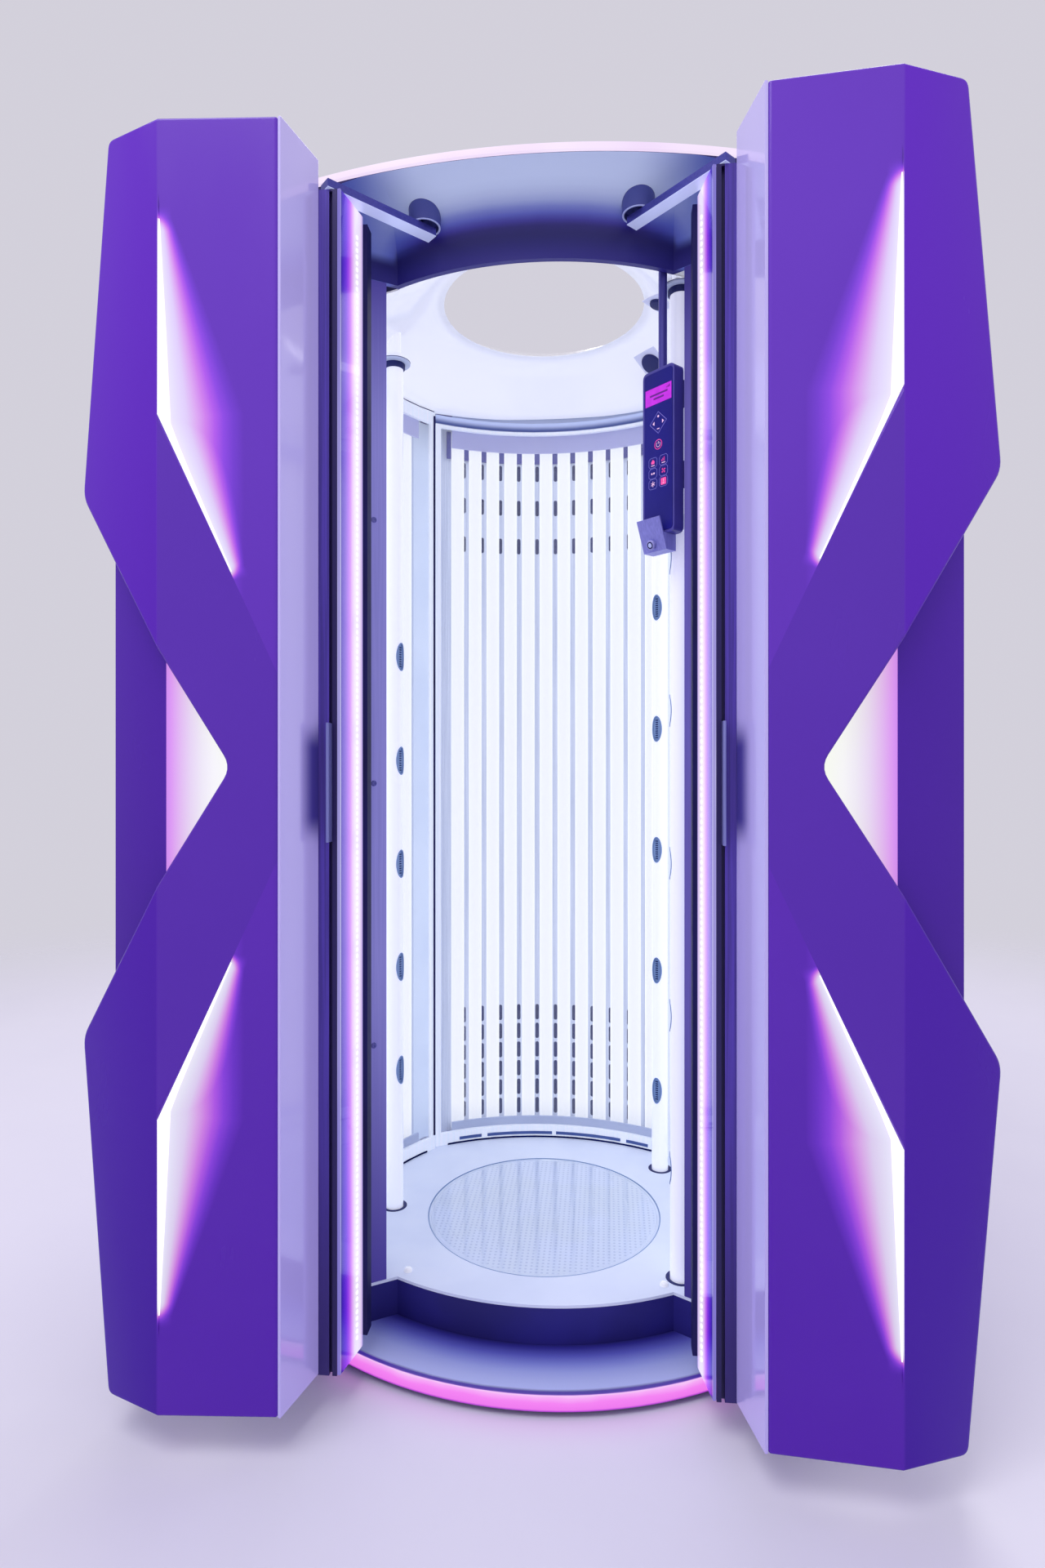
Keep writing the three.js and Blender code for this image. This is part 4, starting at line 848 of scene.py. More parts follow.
# Dark rubber of collars, deck rings and ceiling stops, also the painted shadow line above each flange.
DARK_RUBBER_AND_SHADOW = Satin("collar rubber", tint("262c6c"), tint("1e245e"), roughness=0.5, specular=0.3)
FLANGE = Satin("flange paint", tint("c4cee8"), tint("bcc6e2"), roughness=0.4, lit=0.1)
STOP_PLATE = Satin("stop plate paint", tint("d2d5f0"), tint("ccd0ec"), roughness=0.4, lit=0.16)
FOOT = Satin("foot cover", tint("b2bede"), tint("aab6d8"), roughness=0.4, lit=0.08)
BANK = Satin("holder plastic", tint("4a4aa0"), tint("3c3c8e"), roughness=0.5, specular=0.2)
BRIGHT = Metal("bright sheet", tint("c0c8de"), tint("acb5cf"), metallic=0.1, roughness=0.4, lit=0.24)
STEEL = Metal("steel", tint("c9cfe2"), tint("aab2cc"), metallic=0.8, roughness=0.3)
SCREW = Metal("screw steel", tint("7c7cc0"), tint("5c5ca6"), metallic=0.7, roughness=0.3)
HANDLE = Metal("handle metal", tint("8f92d0"), tint("7a7cc0"), metallic=0.5, roughness=0.3)
RUBBER = Satin("seal rubber", tint("1a1856"), tint("141244"), roughness=0.6, grain=400.0, specular=0.15)
INSERT = Satin("nozzle plastic", tint("7e9ac6"), tint("6e8aba"), roughness=0.4, lit=0.05)
SLOT = Satin("slot shadow", tint("04165e"), tint("020e46"), roughness=0.8, specular=0.0)
CASE = Satin("control case", tint("5650aa"), tint("4b4698"), roughness=0.36)
KEYPAD = Satin("key panel", tint("23208a"), tint("1e1b7a"), roughness=0.3, specular=0.3)
PLATE = Metal("stop plate", tint("8f8fd8"), tint("8282cc"), metallic=0.2, roughness=0.4, lit=0.1)
STOP = Gloss("stop cap", tint("8f8fd4"), tint("a6a6e4"), roughness=0.25)
CLEAR = Clear("clear sheet", tint("e6ecfa"), 0.05)
DISC = DiscGlass("disc glass", tint("c2cee4"), tint("95a6ce"))
FIN = FinGlow("fin light")
WHITE_LIGHT = Glow("white light", tint("fdf4fe"), tint("ffffff"), strength=1.15)
PINK_LIGHT = StripGlow("pink light", tint("f07ceb"), tint("f2a4ef"), strength=1.0, beads=9.0,
                       bottom=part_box("plinth_light_strip")[0].z, top=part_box("plinth_light_strip")[1].z)
RIM_LIGHT = Glow("rim light", tint("ecd6f3"), tint("f4e4f8"), strength=1.0, beads=6.0)
SCREEN = Glow("screen light", tint("c814e4"), tint("d824f0"), strength=0.92, beads=60.0)
ICON = Glow("icon light", tint("f02c8c"), tint("ff5cb4"), strength=1.0, beads=160.0)
ICON_PALE = Glow("icon line", tint("7a72d4"), tint("8a82e0"), strength=1.0, beads=160.0)
ICON_WHITE = Glow("icon mark", tint("f0bce8"), tint("f6ccf0"), strength=1.0, beads=160.0)
INK = Satin("screen ink", tint("7a0aa0"), tint("6c0890"), roughness=0.5)
TUBE_GLOW = TubeGlow("tube glass", tint("eef1f8"), tint("d4daea"), low=0.14, high=2.20)


# Mesh work


class Shape:
    """A mesh in the making, in the row frame and in metres."""

    def __init__(self) -> None:
        """Starts an empty mesh."""
        self.mesh = bmesh.new()

    def face(self, corners: list[bmesh.types.BMVert]) -> None:
        """Adds one face, leaving out what collapses to a line."""
        unique = list(dict.fromkeys(corners))
        if len(unique) > 2:
            self.mesh.faces.new(unique)

    def loft(self, rings: list[list[Vector]], closed: bool = True, caps: bool = True) -> None:
        """Skins a row of point rings of equal length.

        Args:
            rings: Rings of points, in order.
            closed: Joins the last point of each ring to its first.
            caps: Fills the first and the last ring.
        """
        rows = [[self.mesh.verts.new(p) for p in ring] for ring in rings]
        count = len(rows[0])
        for a, b in zip(rows, rows[1:]):
            for i in range(count if closed else count - 1):
                j = (i + 1) % count
                self.face([a[i], a[j], b[j], b[i]])
        if caps:
            self.face(rows[0][::-1])
            self.face(rows[-1])

    def turned(self, profile: list[Point], at: Vector, sides: int = 24, axis: Matrix | None = None) -> None:
        """Turns a profile of (radius, height) points about an axis.

        Args:
            profile: Points from one end to the other.
            at: Foot of the axis.
            sides: Number of sides.
            axis: Turn that lays the axis, which otherwise points up.
        """
        lay = axis or Matrix.Identity(3)
        steps = [2 * math.pi * i / sides for i in range(sides)]
        rings = []
        for radius, height in profile:
            ring = [Vector((radius * math.cos(a), radius * math.sin(a), height)) for a in steps]
            rings.append([at + lay @ p for p in ring])
        self.loft(rings)

    def ring(self, section: list[Point], at: Vector, sides: int = 32, axis: Matrix | None = None,
             squash: tuple = (1.0, 1.0)) -> None:
        """Turns a closed section of (radius, height) points into a ring; squash makes it oval."""
        lay = axis or Matrix.Identity(3)
        rings = []
        for i in range(sides + 1):
            a = 2 * math.pi * (i % sides) / sides
            turn = Vector((math.cos(a) * squash[0], math.sin(a) * squash[1], 0.0))
            rings.append([at + lay @ (turn * radius + Vector((0, 0, height))) for radius, height in section])
        self.loft(rings, caps=False)
        bmesh.ops.remove_doubles(self.mesh, verts=self.mesh.verts, dist=WELD)

    def slab(self, outline: list[Vector], depth: Vector) -> None:
        """Thickens a flat outline."""
        self.loft([outline, [p + depth for p in outline]])

    def block(self, low: Vector, high: Vector) -> None:
        """Adds a box between two corners."""
        base = [Vector((x, y, low.z)) for x, y in ((low.x, low.y), (high.x, low.y), (high.x, high.y), (low.x, high.y))]
        self.slab(base, Vector((0, 0, high.z - low.z)))

    def soften(self, width: float, segments: int = 2, angle: float = 32.0) -> None:
        """Rounds the edges that are sharper than an angle."""
        limit = math.radians(angle)
        edges = [e for e in self.mesh.edges if e.is_manifold and e.calc_face_angle(0.0) > limit]
        bmesh.ops.bevel(self.mesh, geom=edges, offset=width, segments=segments, profile=0.6,
                        affect="EDGES", clamp_overlap=True)

    def finish(self, name: str, body: str, slot: str, finish: Finish, nodes: tuple[str, ...] = ()) -> bpy.types.Object:
        """Turns the mesh into a piece of the booth.

        Args:
            name: Name of the piece.
            body: Body that it rides on.
            slot: Material slot of the record; not used.
            finish: Its surface finish.
            nodes: Nodes that it stands for.

        Returns:
            The new object.
        """
        bmesh.ops.recalc_face_normals(self.mesh, faces=self.mesh.faces)
        for face in self.mesh.faces:
            face.smooth = True
        for edge in self.mesh.edges:
            edge.smooth = not (edge.is_manifold and edge.calc_face_angle(0.0) > math.radians(40))
        data = bpy.data.meshes.new(name)
        self.mesh.to_mesh(data)
        self.mesh.free()
        piece = bpy.data.objects.new(name, data)
        bpy.context.scene.collection.objects.link(piece)
        data.materials.append(finish.material())
        weighted = piece.modifiers.new("even_shading", "WEIGHTED_NORMAL")
        weighted.keep_sharp = True
        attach(piece, body)
        if nodes:
            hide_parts(*nodes)
        LOG.info("%s: %d faces on %s", name, len(data.polygons), body)
        return piece


def body_of(node: str) -> str:
    """Body that a node of the frame belongs to."""
    bodies = frame["record"]["behaviour"]["bodies"]
    return next(name for name, members in bodies.items() if node in members)


def slot_of(node: str) -> str:
    """Material slot of a node of the frame."""
    return next(part["material_slot"] for part in frame["record"]["subparts"] if part["node"] == node)


def dress(node: str, finish: Finish) -> None:
    """Gives a node of the frame its finish, as it is."""
    data = frame["nodes"][node].data
    data.materials.clear()
    data.materials.append(finish.material())


def skin(node: str, finish: Finish, edge: float, segments: int = 2) -> bpy.types.Object:
    """Replaces a node by the same form with welded faces, rounded edges and a finish.

    Args:
        node: Node of the frame.
        finish: Surface finish.
        edge: Width of the rounding.
        segments: Steps of the rounding.

    Returns:
        The new piece.
    """
    shape = Shape()
    shape.mesh.from_mesh(frame["nodes"][node].data)
    bmesh.ops.remove_doubles(shape.mesh, verts=shape.mesh.verts, dist=WELD)
    bmesh.ops.dissolve_limit(shape.mesh, angle_limit=math.radians(0.3), verts=shape.mesh.verts,
                             edges=shape.mesh.edges)
    if edge > 0:
        shape.soften(edge, segments)
    return shape.finish(f"{node}_form", body_of(node), slot_of(node), finish, (node,))


def rounded_box(width: float, height: float, corner: float, steps: int = 4) -> list[Point]:
    """Outline of a rectangle with round corners about the origin."""
    points = []
    for quarter, (sx, sy) in enumerate(((1, 1), (-1, 1), (-1, -1), (1, -1))):
        for i in range(steps + 1):
            a = math.pi / 2 * (quarter + i / steps)
            points.append((sx * (width / 2 - corner) + corner * math.cos(a),
                           sy * (height / 2 - corner) + corner * math.sin(a)))
    return points


# Sub-assemblies


@dataclass
class DoorLeaf:
    """One swinging door with its arm, boss, light slots and lit fin."""

    side: Side
    line: LightLine = LightLine()
    middle: float = 1.206
    facet_inner: Point = (0.4186, -0.6595)
    facet_fold: Point = (0.628, -0.675)
    lens_radius: float = 0.0046
    lens_pitch: float = 0.0125
    lens_back: float = 0.023
    edge: float = 0.005

    def node(self, piece: str) -> str:
        """Name of one of this door's nodes."""
        return f"{self.side.label}_{piece}"

    def build(self) -> None:
        """Makes every piece of the door."""
        skin(self.node("door_cover"), VIOLET, self.edge, 3)
        skin(self.node("door_body"), NOTCH, 0.003)
        skin(self.node("return_panel"), LILAC, 0.0012)
        skin(self.node("door_column"), GRAPHITE, 0.0012)
        skin(self.node("door_fin"), FIN, 0.0008)
        skin(self.node("door_seal"), RUBBER, 0.001)
        skin(self.node("door_handle"), HANDLE, 0.0014)
        skin(self.node("swing_arm"), ARM_METAL, 0.0015)
        skin(self.node("pivot_boss"), BOSS, 0.0012)
        dress(self.node("guide_belt"), RUBBER)
        for up in (1, -1):
            self.light_slot(up)
        self.fin_lenses()
        self.boss_rim()

    def facet_y(self, x: float) -> float:
        """Front of the inner facet at a distance from the middle of the booth."""
        (x0, y0), (x1, y1) = self.facet_inner, self.facet_fold
        return y0 + (y1 - y0) * (x - x0) / (x1 - x0)

    def light_slot(self, up: int) -> None:
        """Lit diffuser along the deep side of a dished recess; up is 1 for the upper pod."""
        line = self.line
        slant = line.slant
        inward = Vector((slant.y, -slant.x)).normalized()
        stations = []
        for i in range(7):
            share = i / 6
            z = line.start + (line.kink - line.start) * share
            aside = Vector((-line.slot_top, 0.0)).lerp(Vector(line.slot_kink), share)
            depth = line.dish_depth * (line.dish_top - z) / (line.dish_top - line.kink)
            stations.append((Vector((line.fold, z)), aside, depth))
        for i in range(1, 7):
            share = i / 6
            place = Vector((line.fold, line.kink)) + slant * share
            aside = Vector(line.slot_kink).lerp(inward * line.slot_tip, math.sqrt(share))
            stations.append((place, aside, line.dish_depth * (1.0 - share * line.dish_share)))
        rings = []
        for place, aside, depth in stations:
            inner = place + aside
            floor = depth * (1.0 - aside.length / 0.14)
            spots = ((place, 0.0006), (place, depth + 0.001), (inner, floor + 0.0004))
            rings.append([Vector((self.side.value * (p.x - 0.0003), self.facet_y(p.x) + sink, self.middle + up * p.y))
                          for p, sink in spots])
        shape = Shape()
        shape.loft(rings)
        level = "upper" if up > 0 else "lower"
        shape.finish(self.node(f"{level}_light_slot"), self.node("door"), "light_strip", WHITE_LIGHT)

    def fin_lenses(self) -> None:
        """Row of lamp lenses on a slim channel along the far edge of the fin."""
        low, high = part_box(self.node("door_fin"))
        far_x = min(abs(low.x), abs(high.x))
        slope = (max(abs(low.x), abs(high.x)) - far_x - 0.006) / (high.y - low.y)
        y = high.y - self.lens_back
        x = self.side.value * (far_x + slope * self.lens_back - 0.0004)
        shape = Shape()
        face_in = Matrix.Rotation(-self.side.value * math.pi / 2, 3, "Y")
        dome = [(0.0, 0.0016), (self.lens_radius * 0.6, 0.0012), (self.lens_radius, -0.0003)]
        count = int((high.z - low.z - 0.06) / self.lens_pitch)
        for i in range(count):
            shape.turned(dome[::-1], Vector((x, y, low.z + 0.03 + i * self.lens_pitch)), 10, face_in)
        shape.finish(self.node("fin_lenses"), self.node("door"), "light_strip", WHITE_LIGHT)

    def boss_rim(self) -> None:
        """Pale ring round the mouth of the pivot boss."""
        low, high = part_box(self.node("pivot_boss"))
        centre = (low + high) / 2
        radius = (high.x - low.x) / 2
        bottom = 2.301
        section = [(radius - 0.0042, bottom - 0.0006), (radius - 0.0006, bottom - 0.0006),
                   (radius - 0.0002, bottom + 0.002), (radius - 0.0044, bottom + 0.004)]
        shape = Shape()
        shape.ring(section, Vector((centre.x, centre.y, 0.0)), 40)
        shape.finish(self.node("boss_rim"), "cabin", "aluminium", RIM_METAL)


@dataclass
class LampWall:
    """Curved bank of tubes with their holders, in front of a slotted reflector."""

    label: str
    centre: Point
    radius: float
    facing: float
    count: int = 12
    pitch: float = 0.053
    lamp_setback: float = 0.038
    reflector_setback: float = 0.068
    tube_radius: float = 0.019
    holder_radius: float = 0.0155
    cap_height: float = 0.012
    holder_height: float = 0.02
    cover: tuple[float, float, float, float] = (0.008, 0.013, 0.082, 0.026)
    backing: tuple[float, float, float, float] = (0.056, 0.062, 0.096, 0.018)
    frame_finish: Finish = FRAME
    foot_cover: Point = (0.150, 0.180)
    foot_slits: tuple[Point, ...] = ()
    joint_span: Point = (-0.53, 0.53)
    rim_seal: tuple[float, ...] = ()
    foot_setbacks: Point = (-0.0082, -0.005)
    slit_heights: Point = (0.1335, 0.1415)
    joint_heights: Point = (0.1242, 0.1284)
    slot_size: Point = (0.0105, 0.046)
    slot_rows: tuple[float, ...] = (2.0885, 1.985, 1.87, 0.47, 0.414, 0.358, 0.302, 0.246, 0.19)

    def build(self) -> None:
        """Makes the tubes, holders, frame, pane and reflector."""
        skin(f"{self.label}_pane_frame", self.frame_finish, 0.0012)
        dress(f"{self.label}_pane", CLEAR)
        skin(f"{self.label}_reflector", BRIGHT, 0.0)
        self.tubes()
        self.holders()
        self.slots()
        top = self.ends()[1]
        for name, slot, finish, (near, far, low, high) in (("lamp_cover", "white_satin", COVER, self.cover),
                                                           ("holder_rail", "dark_plastic", BANK, self.backing)):
            shape = Shape()
            self.rail(shape, near, far, top - low, top - high)
            shape.finish(f"{self.label}_{name}", "cabin", slot, finish)
        self.foot()

    def foot(self) -> None:
        """Cover in front of the lower lamp ends, slits in the bottom rail in painted shade, and a dark strip of painted
        shadow along its joint with the deck.
        """
        near, far = self.cover[:2]
        shape = Shape()
        self.rail(shape, near, far, *self.foot_cover)
        shape.finish(f"{self.label}_foot_cover", "cabin", "white_satin", FOOT)
        # Dark strip of painted shadow along the joint between the bottom rail and the deck.
        shape = Shape()
        self.rail(shape, *self.foot_setbacks, *self.joint_heights, self.joint_span)
        shape.finish(f"{self.label}_foot_joint", "cabin", "rubber", SLOT)
        if self.rim_seal:
            shape = Shape()
            self.rail(shape, *self.rim_seal)
            shape.finish(f"{self.label}_rim_seal", "cabin", "white_satin", FLANGE)
        if self.foot_slits:
            shape = Shape()
            for span in self.foot_slits:
                self.rail(shape, *self.foot_setbacks, *self.slit_heights, span)
            shape.finish(f"{self.label}_foot_slits", "cabin", "rubber", SHADE)

    def rail(self, shape: Shape, near: float, far: float, bottom: float, top: float,
             span: Point = (-0.5, 0.5)) -> None:
        """Adds a curved bar along the wall between two setbacks, two heights and two shares of the width."""
        rows = []
        for i in range(25):
            step = (span[0] + (span[1] - span[0]) * i / 24) * self.count
            front, _ = self.spot(self.radius + near, step)
            back, _ = self.spot(self.radius + far, step)
            rows.append([p + Vector((0, 0, z)) for p, z in ((front, bottom), (back, bottom), (back, top), (front, top))])
        shape.loft(rows)

    def spot(self, radius: float, step: float) -> tuple[Vector, Vector]:
        """Place on the wall and the direction back into the cabin.

        Args:
            radius: Distance from the wall's centre line.
            step: Lamp spaces from the middle of the wall.

        Returns:
            The place at floor level and the inward direction.
        """
        lamp_radius = self.radius + self.lamp_setback
        angle = math.radians(self.facing) + step * self.pitch / lamp_radius
        out = Vector((math.cos(angle), math.sin(angle), 0.0))
        return Vector((self.centre[0], self.centre[1], 0.0)) + out * radius, -out

    def steps(self) -> list[float]:
        """Places of the tubes, counted in lamp spaces from the middle."""
        return [i - (self.count - 1) / 2 for i in range(self.count)]

    def ends(self) -> tuple[float, float]:
        """Lowest and highest point of the bank."""
        low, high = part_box(f"{self.label}_lamp_bank")
        return low.z, high.z

    def tubes(self) -> None:
        """Glowing tubes with rounded shoulders."""
        low, high = self.ends()
        bottom = low + self.holder_height
        top = high - self.holder_height
        r = self.tube_radius
        profile = [(0.0, bottom), (r * 0.8, bottom), (r, bottom + 0.004), (r, top - 0.004), (r * 0.8, top), (0.0, top)]
        shape = Shape()
        for step in self.steps():
            place, _ = self.spot(self.radius + self.lamp_setback, step)
            shape.turned(profile, place, 20)
        shape.finish(f"{self.label}_tubes", "cabin", "lamp", TUBE_GLOW, (f"{self.label}_lamp_bank",))

    def holders(self) -> None:
        """Metal caps, plastic lamp holders and the two rails that carry them."""
        low, high = self.ends()
        caps = Shape()
        rest = Shape()
        r = self.tube_radius + 0.0004
        for step in self.steps():
            place, _ = self.spot(self.radius + self.lamp_setback, step)
            for end, way in ((low, 1), (high, -1)):
                start = end + way * (self.holder_height - 0.004)
                stop = start + way * self.cap_height
                cap = [(r * 0.5, start), (r * 0.96, start), (r, start + way * 0.002), (r, stop), (r * 0.97, stop)]
                caps.turned(cap, place, 20)
                foot = [(self.holder_radius, end + way * 0.01), (self.holder_radius, start)]
                rest.turned(foot, place, 12)
        for bottom, top in ((low, low + 0.012), (high - 0.012, high)):
            self.rail(rest, self.lamp_setback - 0.02, self.lamp_setback + 0.02, bottom, top)
        caps.finish(f"{self.label}_tube_caps", "cabin", "aluminium", STEEL)
        rest.finish(f"{self.label}_holders", "cabin", "dark_plastic", BANK)

    def slots(self) -> None:
        """Dark air slots in the reflector between the tubes, drawn as thin plates in painted shade."""
        outline = rounded_box(self.slot_size[0], self.slot_size[1], self.slot_size[0] * 0.48)
        shape = Shape()
        up = Vector((0, 0, 1))
        for step in self.steps()[:-1]:
            place, inward = self.spot(self.radius + self.reflector_setback, step + 0.5)
            along = up.cross(inward)
            for z in self.slot_rows:
                corners = [place + along * a + up * (z + b) + inward * 0.0002 for a, b in outline]
                shape.slab(corners, inward * 0.0008)
        shape.finish(f"{self.label}_air_slots", "cabin", "rubber", SLOT)


@dataclass
class AirColumn:
    """Upright air tube with oval nozzles, a dark collar under the ceiling and a ring round its foot."""

    label: str
    x: float
    y: float
    nozzles: tuple[float, ...]
    aim: Point = (0.040, -0.215)
    radius: float = 0.022
    port: Point = (0.013, 0.0338)
    collar: tuple[float, float] = (2.2033, 2.2157)
    collar_radius: float = 0.0262
    flange_radius: float = 0.0392
    flange_height: float = 0.004
    flange_gap: float = 0.0014
    deck: float = 0.124
    socket: float = 0.031
    slats: int = 9

    def build(self) -> None:
        """Makes the tube and its fittings."""
        skin(self.label, TUBING, 0.0)
        self.inserts()
        self.fittings()

    def inserts(self) -> None:
        """Oval rim, curved plate and a row of slats in each port."""
        toward = Vector((self.aim[0] - self.x, self.aim[1] - self.y, 0.0)).normalized()
        lay = Matrix((Vector((-toward.y, toward.x, 0)), Vector((0, 0, 1)), toward)).transposed()
        across, up, out = lay.col
        wide, tall = self.port
        rim = Shape()
        slats = Shape()
        oval = [(math.cos(a), math.sin(a)) for a in (2 * math.pi * i / 32 for i in range(32))]
        for z in self.nozzles:
            foot = Vector((self.x, self.y, z))
            rows = []
            for i in range(13):
                c = -0.985 * math.cos(math.pi * i / 12)
                half = math.sqrt(1.0 - c * c) * tall * 0.97
                level = self.sink(c * wide, 0.0014 + 0.0016 * (1.0 - c * c))
                seat = foot + across * c * wide * 0.97
                rows.append([seat + up * h + out * (level + d) for h, d in
                             ((-half, -0.001), (-half, 0.0), (half, 0.0), (half, -0.001))])
            rim.loft(rows)
            for i in range(self.slats):
                level = (i / (self.slats - 1) - 0.5) * 1.36 * tall
                bar = [foot + across * a + up * (level + b) + out * self.sink(a, 0.0032) for a, b in
                       ((-0.0036, -0.0013), (0.0036, -0.0013), (0.0036, 0.0013), (-0.0036, 0.0013))]
                slats.slab(bar, out * 0.0008)
            rings = []
            for c, s in oval + oval[:1]:
                seat = foot + across * c * wide + up * s * tall + out * self.sink(c * wide, -0.0001)
                edge = (across * c + up * s) * 0.0022
                rings.append([seat - edge - out * 0.0040, seat - edge + out * 0.0007, seat + edge * 0.3 + out * 0.0010,
                              seat + edge * 0.6 - out * 0.0006])
            rim.loft(rings, caps=False)
            bmesh.ops.remove_doubles(rim.mesh, verts=rim.mesh.verts, dist=WELD)
        rim.finish(f"{self.label}_nozzle_rims", "cabin", "dark_plastic", INSERT)
        slats.finish(f"{self.label}_nozzles", "cabin", "dark_plastic", SLOT)

    def sink(self, aside: float, depth: float) -> float:
        """Distance of the tube's skin from its axis, beside the middle of a port, less a depth."""
        return math.sqrt(self.radius ** 2 - aside ** 2) - depth

    def fittings(self) -> None:
        """Collar below the ceiling with its flange, a thin dark ring of painted shadow above the flange, and ring in
        the deck.
        """
        place = Vector((self.x, self.y, 0.0))
        low, high = self.collar
        r = self.radius
        dark = Shape()
        dark.ring([(r - 0.0014, low), (r + 0.001, low), (self.collar_radius, low + 0.003), (self.collar_radius, high),
                   (r - 0.0014, high)], place)
        inner, outer = r + 0.001, self.socket - 0.0004
        dark.ring([(inner, self.deck - 0.006), (outer, self.deck - 0.006), (outer, self.deck + 0.001),
                   (outer - 0.003, self.deck + 0.002), (inner, self.deck + 0.0005)], place)
        wide, top = self.flange_radius, high + self.flange_height
        # Painted shadow: thin dark ring just above the flange, along its front edge.
        dark.ring([(r - 0.004, top), (wide + 0.0003, top), (wide + 0.0003, top + self.flange_gap),
                   (r - 0.004, top + self.flange_gap)], place)
        dark.finish(f"{self.label}_fittings", "cabin", "rubber", DARK_RUBBER_AND_SHADOW)
        pale = Shape()
        pale.ring([(r - 0.004, high), (wide - 0.001, high), (wide, high + 0.001), (wide, top), (r - 0.004, top)], place)
        pale.finish(f"{self.label}_flange", "cabin", "white_gloss", FLANGE)


@dataclass
class Base:
    """Plinth with its lit edge, step, platform and floor disc."""

    disc_radius: float = 0.28
    bumper_radius: float = 0.009
    bumpers: Point = (0.272, -0.286)

    def build(self) -> None:
        """Makes every piece of the base."""
        skin("plinth_base", SLATE, 0.0015)
        skin("plinth_light_strip", PINK_LIGHT, 0.0015)
        skin("step_tread", TREAD, 0.0012)
        skin("platform_riser", SLATE, 0.001)
        skin("deck_plate", DECK, 0.0012)
        self.disc()
        self.bumper_pair()

    def disc(self) -> None:
        """Floor disc with a raised lip and a soft rounded edge."""
        low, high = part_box("floor_disc")
        r = self.disc_radius
        top = high.z
        profile = [(0.0, low.z), (r - 0.002, low.z), (r, low.z + 0.001), (r, top - 0.001), (r - 0.001, top),
                   (r - 0.006, top), (r - 0.0075, top - 0.0014), (0.0, top - 0.0014)]
        shape = Shape()
        shape.turned(profile, Vector((0, 0, 0)), 128)
        shape.finish("floor_disc_form", "cabin", "acrylic", DISC, ("floor_disc",))
        edge = Shape()
        edge.ring([(r - 0.0002, top - 0.0015), (r + 0.0018, top - 0.0015), (r + 0.0018, top + 0.0012),
                   (r - 0.0002, top + 0.0012)], Vector((0, 0, 0)), 128)
        edge.finish("floor_disc_seal", "cabin", "rubber", INSERT)

    def bumper_pair(self) -> None:
        """Small clear stops near the front corners of the deck."""
        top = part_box("deck_plate")[1].z
        x, y = self.bumpers
        r = self.bumper_radius
        profile = [(r, top - 0.0002), (r, top + 0.003), (r * 0.85, top + 0.006), (r * 0.5, top + 0.008), (0.0, top + 0.0086)]
        shape = Shape()
        for side in Side:
            shape.turned(profile, Vector((side.value * x, y, 0)), 20)
        shape.finish("deck_bumpers", "cabin", "white_gloss", PEARL)


